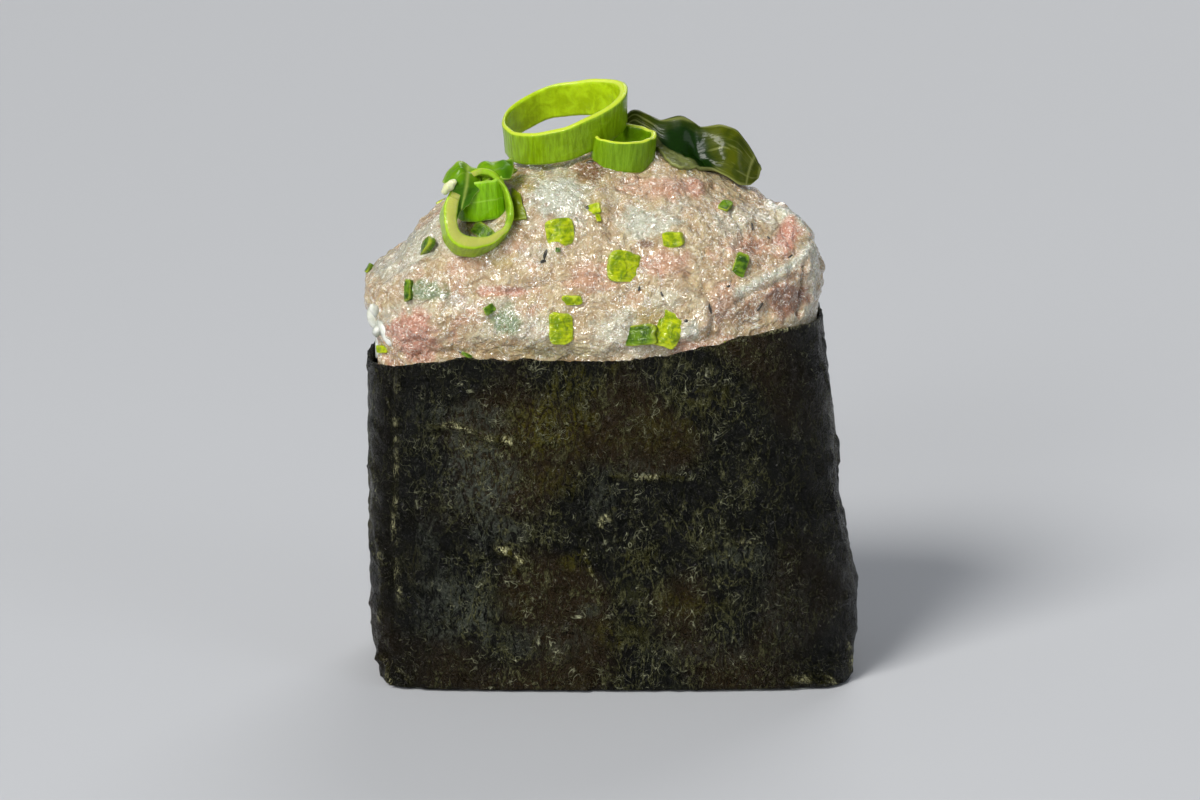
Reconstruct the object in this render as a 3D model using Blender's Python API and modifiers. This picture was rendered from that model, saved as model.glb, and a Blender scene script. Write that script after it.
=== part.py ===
"""A gunkan maki: rice in an upright band of nori, topped with minced fatty tuna and cut scallion.

Lengths in the functions are millimetres, and every point is turned into metres as it is placed.
X runs along the long side, Y away from the viewer, Z up, and the piece stands on Z = 0.
"""
import math
import random

import bmesh
import bpy
from mathutils import Euler, Matrix, Vector, noise
from mathutils.bvhtree import BVHTree

MM = 0.001
GAP = 0.3               # between pieces that touch
SEED = 7
MIDDLE = (0.24, -0.21)  # the middle of the whole outline, which the finished piece stands on

# Nori: one sixth of a 210 mm sheet, wound once round the rice with a lap at the front left.
NORI_WIDTH = 35.0
NORI_THICK = 0.35
NORI_FOOT = 0.3         # the lower edge stays this far off the floor, and the rice stands on it
LAP_START = math.radians(240.0)
LAP_END = math.radians(208.0)
RIM_RISE_RIGHT = 3.0
RIM_DROP_LEFT = 1.5

# Plan of the band by height: (height, half length or half depth).
LEFT_HALF = ((0.0, 25.2), (5.0, 26.2), (36.0, 26.3))
RIGHT_HALF = ((0.0, 25.6), (5.0, 26.5), (9.0, 26.4), (19.5, 24.2), (24.0, 24.2), (38.0, 22.4))
HALF_DEPTH = ((0.0, 14.0), (5.0, 14.1), (38.0, 13.6))
SQUARE_FOOT = 5.0       # exponent of the rounded rectangle at the foot, and at the rim
SQUARE_RIM = 3.2
# Lower corners that stand out a little: (bearing in degrees, spread in degrees, height, reach).
FLARES = ((208.0, 6.0, 4.0, 0.9), (333.0, 7.0, 4.0, 0.7))

# Rice
RICE_TOP = 28.7
RICE_CORE_FOOT = 1.0
FOOT_LONG = 19.0        # the flat that the piece stands on
FOOT_DEEP = 10.0
GRAIN_LONG = 5.4
GRAIN_THICK = 2.2
GRAIN_SPACING = 6.0
GRAIN_REST = 0.95  # height of the grains underneath, which are pressed flat where they stand
LIP_ARC = (math.radians(158.0), math.radians(204.0))    # where rice rises past the left rim
LIP_FOOT = 32.2         # the core rises this far behind the left rim, and loose grains top it
LIP_ROWS = 3
LIP_STEP = 1.6
LIP_ROOM = 2.5

# Tuna: the crest seen from the front, as (X, height).
CREST = (
    (-25.7, 41.6), (-22.1, 44.6), (-19.0, 47.7), (-16.5, 50.3), (-11.1, 53.0), (-1.1, 54.1),
    (5.1, 53.3), (13.0, 50.7), (15.9, 49.6), (18.2, 49.0), (20.6, 46.9), (22.0, 43.0),
)
MOUND_HALVES = (25.7, 22.2, 13.3)   # left, right and depth at the widest
MOUND_SQUARE = 3.0
MOUND_EDGE = 37.4
TUNA_FOOT = RICE_TOP + GAP
# Swells and dents: (x, y, z, radius, height).
LOBES = (
    (7.5, 1.5, 52.5, 5.5, 2.2),
    (21.6, -3.0, 40.8, 3.4, 0.7),
    (18.4, -9.5, 39.8, 3.0, -1.1),
    (19.6, -3.5, 47.6, 2.4, 0.9),
    (12.6, -6.5, 49.4, 2.4, 0.7),
    (-6.0, -7.5, 50.5, 4.0, 0.6),
    (7.5, -9.5, 47.0, 4.0, 0.5),
    (-20.0, -10.5, 38.5, 4.5, 0.7),
    (2.0, -13.0, 40.0, 6.0, 0.4),
    (14.0, 9.0, 44.0, 5.0, 0.8),
    (-10.0, 9.5, 46.0, 6.0, 0.9),
    (2.0, 11.0, 42.0, 5.0, -0.7),
)
# Ridges and creases along a line: (start, end, half width, height).
FOLDS = (
    ((14.0, -10.2, 42.2), (20.4, -6.0, 45.6), 1.0, 0.9),
    ((16.0, -8.0, 46.0), (21.2, -3.0, 44.6), 0.8, -0.9),
    ((8.6, -12.6, 37.6), (9.8, -9.8, 44.6), 0.8, -0.8),
    ((-17.0, -12.4, 42.4), (-11.5, -12.2, 42.6), 0.7, -0.5),
    ((-22.5, -9.5, 46.0), (-14.5, -4.5, 51.2), 0.9, 0.5),
)
LUMP_SIZE = 5.5
LUMP_HEIGHT = 0.55

# Scallion chips in the face of the tuna: (x, z, width, height, turn in degrees).
CHIPS = (
    (1.4, 44.5, 3.6, 3.1, -12.0),
    (-5.2, 47.8, 2.8, 3.0, 8.0),
    (-4.0, 41.2, 2.2, 1.0, 0.0),
    (-5.1, 38.4, 2.5, 3.2, 4.0),
    (2.4, 37.7, 3.4, 2.2, 12.0),
    (5.6, 38.2, 3.0, 3.0, -14.0),
    (6.2, 47.1, 2.2, 1.6, 10.0),
    (13.1, 44.3, 1.4, 2.8, -18.0),
    (11.7, 49.8, 1.2, 1.5, -30.0),
    (-18.9, 42.0, 4.0, 2.8, 8.0),
    (-10.6, 39.0, 4.4, 3.0, -8.0),
    (-19.1, 45.6, 3.0, 1.4, 48.0),
    (-1.7, 49.9, 1.5, 1.2, 20.0),
)
CHIP_THICK = 1.0
CHIP_PROUD = 0.35
BACK_CHIPS = 7


def smooth(value):
    """A step from 0 to 1 with soft ends."""
    value = min(max(value, 0.0), 1.0)
    return value * value * (3.0 - 2.0 * value)


def along(stations, at):
    """The value at one place of a line of (place, value) stations, eased between them."""
    if at <= stations[0][0]:
        return stations[0][1]
    for (low, first), (high, second) in zip(stations, stations[1:]):
        if at <= high:
            return first + (second - first) * (at - low) / (high - low)
    return stations[-1][1]


def rounded(phi, left, right, deep, square):
    """Distance to a rounded rectangle's side at a bearing."""
    across = math.cos(phi) / (right if math.cos(phi) > 0 else left)
    away = math.sin(phi) / deep
    return (abs(across) ** square + abs(away) ** square) ** (-1.0 / square)


def band_plan(phi, z):
    """Point on the outside of the nori at a bearing and height."""
    share = min(max(z / NORI_WIDTH, 0.0), 1.0)
    square = SQUARE_FOOT + (SQUARE_RIM - SQUARE_FOOT) * share
    reach = rounded(phi, along(LEFT_HALF, z), along(RIGHT_HALF, z), along(HALF_DEPTH, z), square)
    for bearing, spread, height, out in FLARES:
        turn = math.degrees(phi) % 360.0 - bearing
        reach += out * math.exp(-(turn / spread) ** 2) * smooth(1.0 - z / height)
    return Vector((reach * math.cos(phi), reach * math.sin(phi), z))


def band_point(phi, z, inset):
    """The same point moved in towards the rice."""
    step = 0.01
    tangent = band_plan(phi + step, z) - band_plan(phi - step, z)
    inward = Vector((-tangent.y, tangent.x, 0.0)).normalized()
    return band_plan(phi, z) + inward * inset


def rim_height(phi):
    """Height of the nori's upper edge: lower at the left end, higher at the right."""
    x = rounded(phi, 26.0, 22.4, 13.6, SQUARE_RIM) * math.cos(phi)
    return NORI_WIDTH + RIM_RISE_RIGHT * smooth(x / 20.0) - RIM_DROP_LEFT * smooth((-x - 14.0) / 11.0)


SWEEP = 2.0 * math.pi + LAP_START - LAP_END
FULL_TURN = 2.0 * math.pi / SWEEP


def wrap_inset(share):
    """How deep the strip's middle lies: under its own end at the start, outermost at the end."""
    lap = 1.0 - FULL_TURN
    outer = smooth((share - lap) / (FULL_TURN - lap))
    return NORI_THICK / 2 + (NORI_THICK + GAP) * (1.0 - outer)


def filling_inset(phi):
    """How far inside the band's outline the filling stays."""
    share = ((LAP_START - phi) % (2.0 * math.pi)) / SWEEP
    own = wrap_inset(share) + NORI_THICK / 2 + GAP
    near_lap = smooth((share - FULL_TURN + 0.07) / 0.06)
    deepest = wrap_inset(0.0) + NORI_THICK / 2 + GAP
    return own + (deepest - own) * near_lap


def material(name, colour, roughness):
    """A plain Principled material."""
    made = bpy.data.materials.new(name)
    made.use_nodes = True
    shader = made.node_tree.nodes["Principled BSDF"]
    shader.inputs["Base Color"].default_value = (*colour, 1.0)
    shader.inputs["Roughness"].default_value = roughness
    return made


def collection(name, hidden=False):
    """A collection linked to the scene."""
    made = bpy.data.collections.new(name)
    bpy.context.scene.collection.children.link(made)
    made.hide_render = hidden
    return made


def make_object(name, bm, into, finish=None):
    """An object in metres from a mesh worked out in millimetres."""
    bmesh.ops.recalc_face_normals(bm, faces=bm.faces)
    mesh = bpy.data.meshes.new(name)
    bm.to_mesh(mesh)
    bm.free()
    mesh.transform(Matrix.Scale(MM, 4))
    made = bpy.data.objects.new(name, mesh)
    into.objects.link(made)
    if finish:
        mesh.materials.append(finish)
        mesh.shade_smooth()
        mesh.set_sharp_from_angle(angle=math.radians(50.0))
    return made


def mapped_sphere(segments, rings, place):
    """A sphere whose points are moved to place(bearing, level), level -1 at the foot to 1 at the top."""
    bm = bmesh.new()
    bmesh.ops.create_uvsphere(bm, u_segments=segments, v_segments=rings, radius=1.0)
    for vert in bm.verts:
        level = math.asin(min(max(vert.co.z, -1.0), 1.0)) / (math.pi / 2)
        vert.co = place(math.atan2(vert.co.y, vert.co.x), level)
    return bm


def mapped_sheet(columns, rows, place):
    """An open sheet whose points are moved to place(u, v), both from 0 to 1."""
    bm = bmesh.new()
    bmesh.ops.create_grid(bm, x_segments=columns, y_segments=rows, size=0.5)
    for vert in bm.verts:
        vert.co = place(vert.co.x + 0.5, vert.co.y + 0.5)
    bmesh.ops.triangulate(bm, faces=bm.faces)
    return bm


def mapped_tube(segments, rows, place):
    """An open tube whose points are moved to place(turn, level), level from 0 to 1."""
    bm = bmesh.new()
    bmesh.ops.create_cone(bm, cap_ends=False, segments=segments, radius1=1.0, radius2=1.0, depth=1.0)
    upright = [edge for edge in bm.edges if abs(edge.verts[0].co.z - edge.verts[1].co.z) > 0.5]
    bmesh.ops.subdivide_edges(bm, edges=upright, cuts=rows - 1)
    for vert in bm.verts:
        vert.co = place(math.atan2(vert.co.y, vert.co.x), vert.co.z + 0.5)
    return bm


def thicken(part, thickness):
    """Gives a sheet its thickness, half on each side."""
    solid = part.modifiers.new("thickness", "SOLIDIFY")
    solid.thickness = thickness * MM
    solid.offset = 0.0
    solid.use_even_offset = True
    return part


def apply_modifiers(part):
    """Turns the evaluated shape into the object's own mesh."""
    graph = bpy.context.evaluated_depsgraph_get()
    old = part.data
    part.data = bpy.data.meshes.new_from_object(part.evaluated_get(graph))
    part.modifiers.clear()
    bpy.data.meshes.remove(old)


def combine(part, cutters, operation, solver="EXACT"):
    """One Boolean with an object or with a collection of them, applied; the cutters are removed."""
    step = part.modifiers.new(operation.lower(), "BOOLEAN")
    step.operation = operation
    step.solver = solver
    if isinstance(cutters, bpy.types.Collection):
        step.operand_type = "COLLECTION"
        step.collection = cutters
        used = list(cutters.objects)
    else:
        step.object = cutters
        used = [cutters]
    apply_modifiers(part)
    for cutter in used:
        bpy.data.objects.remove(cutter)


def swollen(part, by, into):
    """A copy that stands proud of a part all round, to cut its neighbours with."""
    copy = part.copy()
    copy.data = part.data.copy()
    into.objects.link(copy)
    copy.display_type = "WIRE"
    copy.hide_render = True
    push = copy.modifiers.new("swell", "DISPLACE")
    push.mid_level = 0.0
    push.strength = by * MM
    apply_modifiers(copy)
    return copy


def keep_largest(part):
    """Drops loose scraps that a cut has left."""
    bm = bmesh.new()
    bm.from_mesh(part.data)
    left = set(bm.verts)
    pieces = []
    while left:
        piece = {left.pop()}
        edge_of = list(piece)
        while edge_of:
            near = {edge.other_vert(vert) for vert in edge_of for edge in vert.link_edges} - piece
            piece |= near
            edge_of = list(near)
        left -= piece
        pieces.append(piece)
    largest = max(pieces, key=len)
    bmesh.ops.delete(bm, geom=[vert for vert in bm.verts if vert not in largest], context="VERTS")
    bm.to_mesh(part.data)
    bm.free()


def trim(part, neighbours, cutters):
    """Cuts a piece back to stay clear of those that it lies against."""
    for neighbour in neighbours:
        combine(part, swollen(neighbour, GAP, cutters), "DIFFERENCE")
    keep_largest(part)


def nori_wrap(into, finish):
    """The strip of nori, wound round once and lapped at the front left."""
    def place(u, v):
        phi = LAP_START - u * SWEEP
        z = NORI_FOOT + v * (rim_height(phi) - NORI_FOOT)
        sway = 0.22 * noise.noise(Vector((phi * 3.0, z / 11.0, SEED)))
        return band_point(phi, z, wrap_inset(u) + max(sway, -0.1) * min(u, 1.0 - u) * 2.0)

    part = make_object("nori_wrap", mapped_sheet(76, 5, place), into, finish)
    return thicken(part, NORI_THICK)


def grain(at, rotation, scale):
    """One cooked grain with few sides."""
    bm = bmesh.new()
    bmesh.ops.create_uvsphere(bm, u_segments=6, v_segments=4, radius=1.0)
    size = Matrix.Diagonal((GRAIN_THICK / 2, GRAIN_THICK / 2, GRAIN_LONG / 2, 1.0))
    bm.transform(Matrix.Translation(at) @ rotation.to_matrix().to_4x4() @ size @ Matrix.Scale(scale, 4))
    return bm


def rice_core(phi, level):
    """The packed rice, without its loose grains."""
    if level < -0.7:
        share = 0.985 * (level + 1.0) / 0.3
        z = RICE_CORE_FOOT
    elif level > 0.7:
        share = 0.96 * (1.0 - level) / 0.3
        z = RICE_TOP
    else:
        share = 1.0
        z = RICE_CORE_FOOT + 0.5 + (level + 0.7) / 1.4 * (RICE_TOP - RICE_CORE_FOOT - 1.1)
    side = band_point(phi, z, filling_inset(phi) + 0.1)
    return Vector((side.x * share, side.y * share, z))


def under_grains(draw):
    """Grains that show on the underside, lying flat and spread evenly round the foot."""
    columns = int(48.0 / GRAIN_SPACING)
    rows = int(26.0 / GRAIN_SPACING)
    for column in range(columns + 1):
        for row in range(rows + 1):
            x = -24.0 + column * 48.0 / columns + draw.uniform(-0.8, 0.8)
            y = -12.6 + row * 25.2 / rows + draw.uniform(-0.6, 0.6)
            phi = math.atan2(y, x)
            side = band_point(phi, 1.0, filling_inset(phi) + 1.4)
            past = Vector((x, y)).length / side.xy.length
            if past > 1.0:
                x /= past
                y /= past
            if abs(x) < FOOT_LONG / 2 and abs(y) < FOOT_DEEP / 2:
                continue
            turn = Euler((math.pi / 2 + draw.uniform(-0.12, 0.12), 0.0, draw.uniform(0.0, math.pi)))
            yield Vector((x, y, GRAIN_REST)), turn, draw.uniform(0.9, 1.05)


def lip_grains(draw):
    """Grains stacked against the left end, the top ones showing over the rim."""
    first, last = LIP_ARC
    for row in range(LIP_ROWS):
        count = 4 if row % 2 == 0 else 3
        z = LIP_FOOT + row * LIP_STEP
        for index in range(count):
            phi = first + (last - first) * (index + 0.5 + 0.25 * (row % 2)) / (count + 0.5)
            at = band_point(phi, z, filling_inset(phi) + GRAIN_THICK / 2)
            at.z += draw.uniform(-0.2, 0.2)
            turn = Euler((math.pi / 2 + draw.uniform(-0.25, 0.25), 0.0, phi + math.pi))
            yield at, turn, draw.uniform(0.92, 1.02)


def rice_lip():
    """The packed rice that rises between the tuna and the left end of the band."""
    first, last = LIP_ARC

    def place(turn, level):
        share = 0.5 + 0.5 * math.cos(turn)
        phi = first + (last - first) * share
        deep = GRAIN_THICK / 2 * (1.0 - math.sin(turn))
        z = RICE_TOP - 1.0 + level * (LIP_FOOT + 0.6 - RICE_TOP + 1.0)
        return band_point(phi, z, filling_inset(phi) + 0.1 + 0.9 * deep)

    bm = mapped_tube(12, 2, place)
    bmesh.ops.holes_fill(bm, edges=[edge for edge in bm.edges if edge.is_boundary])
    return bm


def rice(into, cutters, finish):
    """The block of rice: a core with grains fused on where the rice shows."""
    draw = random.Random(SEED)
    part = make_object("rice", mapped_sphere(32, 14, rice_core), into, finish)
    bm = bmesh.new()
    bmesh.ops.create_cone(
        bm, cap_ends=True, segments=28, radius1=FOOT_LONG / 2, radius2=FOOT_LONG / 2 - 0.6, depth=2.0)
    bm.transform(Matrix.Translation((0.0, 0.0, 1.0)) @ Matrix.Diagonal((1.0, FOOT_DEEP / FOOT_LONG, 1.0, 1.0)))
    make_object("foot", bm, cutters)
    make_object("lip", rice_lip(), cutters)
    for index, (at, turn, scale) in enumerate([*under_grains(draw), *lip_grains(draw)]):
        make_object(f"grain_{index}", grain(at, turn, scale), cutters)
    combine(part, cutters, "UNION")
    return part


def room_for_filling(cutters):
    """The space inside the band, which the rice is trimmed to."""
    def place(phi, level):
        return band_point(phi, level * 38.0, filling_inset(phi))

    bm = mapped_tube(72, 10, place)
    bmesh.ops.holes_fill(bm, edges=[edge for edge in bm.edges if edge.is_boundary])
    return make_object("room", bm, cutters)


def mound_swell(point):
    """Height of the tuna's swells, dents, ridges and lumps at a point."""
    total = LUMP_HEIGHT * noise.noise(point / LUMP_SIZE + Vector((SEED, 0.0, 0.0)))
    for x, y, z, radius, height in LOBES:
        total += height * math.exp(-((point - Vector((x, y, z))).length / radius) ** 2)
    for start, end, half, height in FOLDS:
        line = Vector(end) - Vector(start)
        share = min(max((point - Vector(start)).dot(line) / line.length_squared, 0.0), 1.0)
        away = (point - Vector(start) - line * share).length
        total += height * math.exp(-(away / half) ** 2) * smooth(4.0 * share) * smooth(4.0 - 4.0 * share)
    return total


def mound_dome(phi, share):
    """The smooth dome above the rim; share is 1 at its widest and 0 at the crest."""
    left, right, deep = MOUND_HALVES
    reach = rounded(phi, left, right, deep, MOUND_SQUARE) * share
    x = reach * math.cos(phi)
    facing = (reach / max(share, 0.001) * abs(math.sin(phi)) / deep) ** 1.5
    rise = (1.0 - facing * share ** 2.6) ** 0.6 if facing * share < 1.0 else 0.0
    return Vector((x, reach * math.sin(phi), MOUND_EDGE + (along(CREST, x) - MOUND_EDGE) * rise))


def mound_point(phi, level):
    """Point on the tuna: its flat underside, its side inside the band, then the dome."""
    rim = rim_height(phi)
    lip = smooth((abs(phi) - math.radians(142.0)) / math.radians(18.0)) * LIP_ROOM
    if level < -0.3:
        climb = min(max((level + 0.8) / 0.5, 0.0), 1.0)
        z = TUNA_FOOT + climb * (rim - 0.4 - TUNA_FOOT)
        point = band_point(phi, z, filling_inset(phi) + lip)
        share = min((level + 1.0) / 0.2, 1.0)
        return Vector((point.x * share, point.y * share, z))
    shoulder = mound_dome(phi, 1.0)
    if level < -0.05:
        climb = (level + 0.3) / 0.25
        inner = band_point(phi, rim, filling_inset(phi) + lip * (1.0 - smooth(3.0 * climb - 1.6)))
        z = rim + 0.2 + climb * (shoulder.z - rim - 0.2)
        out = smooth(climb * 1.4)
        point = Vector((inner.x + (shoulder.x - inner.x) * out, inner.y + (shoulder.y - inner.y) * out, z))
    else:
        point = mound_dome(phi, math.cos((level + 0.05) / 1.05 * math.pi / 2) ** 0.85)
    heart = Vector((min(max(point.x, -14.0), 11.0), 0.0, 36.0))
    above = smooth((point.z - rim - 0.5) / 2.0)
    return point + (point - heart).normalized() * mound_swell(point) * above


def chip(at, facing, wide, high, turn):
    """A cut bit of scallion, slightly curved, lying in the face of the tuna."""
    bm = bmesh.new()
    bmesh.ops.create_grid(bm, x_segments=3, y_segments=2, size=0.5)
    for vert in bm.verts:
        bend = 0.5 * (vert.co.x * 2.0) ** 2
        vert.co = Vector((vert.co.x * wide, vert.co.y * high, -bend))
    shell = bmesh.ops.extrude_face_region(bm, geom=list(bm.faces))
    for vert in shell["geom"]:
        if isinstance(vert, bmesh.types.BMVert):
            vert.co.z += CHIP_THICK
    bmesh.ops.triangulate(bm, faces=bm.faces)
    frame = facing.to_track_quat("Z", "Y").to_matrix().to_4x4()
    spin = Matrix.Rotation(math.radians(turn), 4, "Z")
    sunk = CHIP_PROUD - CHIP_THICK + 0.25
    bm.transform(Matrix.Translation(at + facing * sunk) @ frame @ spin)
    return bm


def surface(tree, origin, direction):
    """Where a line first meets the tuna, and the way that it faces there, in millimetres."""
    at, normal, _, _ = tree.ray_cast(Vector(origin) * MM, Vector(direction))
    return at / MM, normal


def tuna(into, cutters, finish):
    """The heap of minced tuna, with bits of scallion fused into its face."""
    draw = random.Random(SEED + 1)
    part = make_object("tuna", mapped_sphere(52, 28, mound_point), into, finish)
    tree = BVHTree.FromObject(part, bpy.context.evaluated_depsgraph_get())
    spots = [((x, -60.0, z), (0.0, 1.0, 0.0), wide, high, turn) for x, z, wide, high, turn in CHIPS]
    for index in range(BACK_CHIPS):
        x = -20.0 + 38.0 * index / (BACK_CHIPS - 1)
        z = draw.uniform(39.5, 46.5)
        spots.append(((x, 60.0, z), (0.0, -1.0, 0.0), draw.uniform(2.0, 3.4), draw.uniform(1.6, 3.0),
                      draw.uniform(-40.0, 40.0)))
    for index, (origin, direction, wide, high, turn) in enumerate(spots):
        at, facing = surface(tree, origin, direction)
        make_object(f"chip_{index}", chip(at, facing, wide, high, turn), cutters)
    combine(part, cutters, "UNION")
    return part, tree


def ring_mesh(half_long, half_short, height, wall, taper, slant, ripple, segments):
    """A cut slice of scallion round its own Z axis: an oval tube, wider at the top by taper."""
    def place(turn, level):
        swell = 1.0 + taper * (level - 0.5) + ripple * math.sin(3.0 * turn + 1.0)
        tall = height + slant * math.cos(turn)
        deep = half_short * swell * (1.0 - 0.12 * math.cos(turn))
        return Vector((half_long * swell * math.cos(turn), deep * math.sin(turn), (level - 1.0) * tall))

    return mapped_tube(segments, 3, place), wall


def scallion_ring(name, into, finish, spec, at, tilt, roll, spin=0.0):
    """A ring set down with its top rim's centre at a place, tilted to the viewer and rolled."""
    bm, wall = ring_mesh(*spec)
    lean = Matrix.Rotation(-math.radians(roll), 4, "Y") @ Matrix.Rotation(math.radians(tilt), 4, "X")
    bm.transform(Matrix.Translation(at) @ lean @ Matrix.Rotation(math.radians(spin), 4, "Z"))
    part = thicken(make_object(name, bm, into, finish), wall)
    apply_modifiers(part)
    return part


# Rings: half length, half width, height, wall, flare, extra height at the right, ripple, sides.
RING_LARGE = (6.4, 5.0, 3.9, 0.8, 0.06, 0.6, 0.02, 36)
RING_SMALL = (3.1, 3.0, 3.9, 0.6, 0.04, 0.2, 0.015, 24)
RING_LEFT = (3.2, 3.85, 3.4, 1.4, 0.0, 0.0, 0.02, 28)
TUBE_INNER = (2.0, 1.3, 4.5, 0.5, 0.0, 0.0, 0.03, 18)

# Right leaf: its ridge as (x, height), and its section as (y, share of the rise).
LEAF_RIDGE = (
    (1.6, 56.2), (3.2, 57.5), (5.4, 56.9), (7.6, 58.0), (9.3, 57.0), (12.6, 56.7), (14.4, 55.2), (15.4, 53.4),
    (15.9, 52.2),
)
LEAF_SECTION = (
    (-5.6, 0.1), (-4.2, 0.12), (-2.4, 0.36), (-0.6, 0.78), (1.0, 1.0), (2.6, 0.8), (4.0, 0.4), (5.2, 0.1),
)
LEAF_THICK = 0.45


def leaf(name, into, finish, tree, columns, rows, place):
    """A thin wavy leaf whose points stay just above what it lies on."""
    def rested(u, v):
        point = place(u, v)
        top, _ = surface(tree, (point.x, point.y, 90.0), (0.0, 0.0, -1.0))
        point.z = max(point.z, top.z + GAP + LEAF_THICK)
        return point

    part = thicken(make_object(name, mapped_sheet(columns, rows, rested), into, finish), LEAF_THICK)
    apply_modifiers(part)
    return part


def right_leaf(u, v):
    """The folded green leaf over the right of the crest."""
    first = LEAF_RIDGE[0][0]
    last = LEAF_RIDGE[-1][0]
    x = first + (last - first) * u
    narrow = 0.45 + 0.55 * math.sin(math.pi * (0.12 + 0.8 * u)) ** 0.6
    station = LEAF_SECTION[0][0] + (LEAF_SECTION[-1][0] - LEAF_SECTION[0][0]) * v
    rise = along(LEAF_SECTION, station)
    foot = 50.0
    wave = 0.35 * math.sin(9.0 * u + 3.0 * v)
    return Vector((x, 1.2 + (station - 1.2) * narrow, foot + (along(LEAF_RIDGE, x) - foot) * rise + wave))


def torn_leaf(u, v):
    """The curled bit of leaf over the top of the left ring."""
    x = -17.7 + 4.6 * u
    y = -6.6 + 3.6 * v
    arch = math.sin(math.pi * (0.15 + 0.7 * u))
    return Vector((x, y, 51.4 + 2.4 * arch * (0.55 + 0.45 * v) + 0.35 * math.sin(9.0 * u)))


def back_leaf(u, v):
    """The green leaf between the left ring and the large one."""
    x = -13.2 + 3.8 * u
    y = -4.4 + 3.4 * v
    return Vector((x, y, 52.2 + 1.5 * math.sin(math.pi * (0.2 + 0.6 * u)) - 0.8 * (1.0 - v)))


def tile(u, v):
    """The small olive bit at the right of the left ring."""
    return Vector((-10.1 + 1.7 * u, -10.2 + 2.4 * v, 47.0 + 3.0 * v))


def build():
    for old in list(bpy.data.objects):
        bpy.data.objects.remove(old)
    parts = collection("gunkan_maki")
    cutters = collection("cutters", hidden=True)
    nori_finish = material("nori", (0.012, 0.016, 0.007), 0.4)
    rice_finish = material("rice", (0.78, 0.78, 0.70), 0.45)
    tuna_finish = material("tuna", (0.62, 0.40, 0.29), 0.35)
    lime = material("scallion", (0.28, 0.47, 0.02), 0.3)
    pale = material("scallion_pale", (0.62, 0.70, 0.25), 0.3)
    dark = material("scallion_leaf", (0.05, 0.12, 0.01), 0.2)

    nori_wrap(parts, nori_finish)
    mound, tree = tuna(parts, cutters, tuna_finish)
    block = rice(parts, cutters, rice_finish)
    combine(block, room_for_filling(cutters), "INTERSECT")
    trim(block, [mound], cutters)

    small = scallion_ring("scallion_ring_small", parts, lime, RING_SMALL, (1.35, -3.0, 57.0), 0.0, -3.0)
    trim(small, [mound], cutters)
    large = scallion_ring("scallion_ring_large", parts, lime, RING_LARGE, (-5.1, -1.0, 59.6), 20.0, 19.0)
    trim(large, [mound, small], cutters)
    left = scallion_ring("scallion_ring_left", parts, pale, RING_LEFT, (-13.9, -11.1, 50.5), 58.0, 0.0)
    trim(left, [mound], cutters)
    tube = scallion_ring("scallion_tube_inner", parts, lime, TUBE_INNER, (-13.2, -8.6, 53.2), 12.0, 0.0)
    trim(tube, [mound, left], cutters)
    leaves = (
        ("scallion_leaf_right", dark, 15, 10, right_leaf, [mound, small, large]),
        ("scallion_leaf_torn", lime, 8, 6, torn_leaf, [mound, left, tube]),
        ("scallion_leaf_back", lime, 7, 6, back_leaf, [mound, left, tube, large]),
        ("scallion_tile", dark, 4, 4, tile, [mound, left]),
    )
    placed = []
    for name, finish, columns, rows, place, neighbours in leaves:
        piece = leaf(name, parts, finish, tree, columns, rows, place)
        trim(piece, neighbours + placed, cutters)
        placed.append(piece)
    bpy.data.collections.remove(cutters)
    for part in parts.objects:
        part.data.transform(Matrix.Translation((-MIDDLE[0] * MM, -MIDDLE[1] * MM, 0.0)))


build()
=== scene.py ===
"""The look of the gunkan maki: nori, rice, minced tuna and scallion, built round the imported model.

The shape functions work in millimetres, and each mesh is put into the frame's metres as it is made.
"""
import math
import random

import bpy
import numpy as np
from mathutils import Euler, Matrix, Vector, noise
from mathutils.bvhtree import BVHTree


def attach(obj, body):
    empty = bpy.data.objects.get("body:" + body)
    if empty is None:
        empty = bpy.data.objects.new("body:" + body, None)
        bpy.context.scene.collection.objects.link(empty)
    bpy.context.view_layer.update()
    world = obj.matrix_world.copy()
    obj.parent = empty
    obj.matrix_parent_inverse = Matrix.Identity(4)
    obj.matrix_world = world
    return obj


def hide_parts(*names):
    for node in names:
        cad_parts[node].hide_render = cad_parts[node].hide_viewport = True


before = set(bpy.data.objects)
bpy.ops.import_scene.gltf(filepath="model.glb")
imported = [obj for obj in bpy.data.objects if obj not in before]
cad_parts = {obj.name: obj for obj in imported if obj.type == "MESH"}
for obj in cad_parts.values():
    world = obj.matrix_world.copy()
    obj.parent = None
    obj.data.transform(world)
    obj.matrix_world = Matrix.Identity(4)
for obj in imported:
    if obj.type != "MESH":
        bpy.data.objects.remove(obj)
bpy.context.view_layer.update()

MM = 0.001
GAP = 0.3
SEED = 7
MIDDLE = (0.24, -0.21, 0.0)    # the place in millimetres that the frame puts at its origin

# Where the photo was taken from: 12 degrees above, square to the long side
ELEVATION = math.radians(12.0)
CAMERA_AT = (-1.14, -345.8, 101.6)
FOCAL = 100.0
SENSOR = 36.0
PHOTO_WIDE = 1200
PHOTO_HIGH = 800
PIXELS = FOCAL / SENSOR * PHOTO_WIDE    # pixels of the photo per unit of slope

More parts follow.
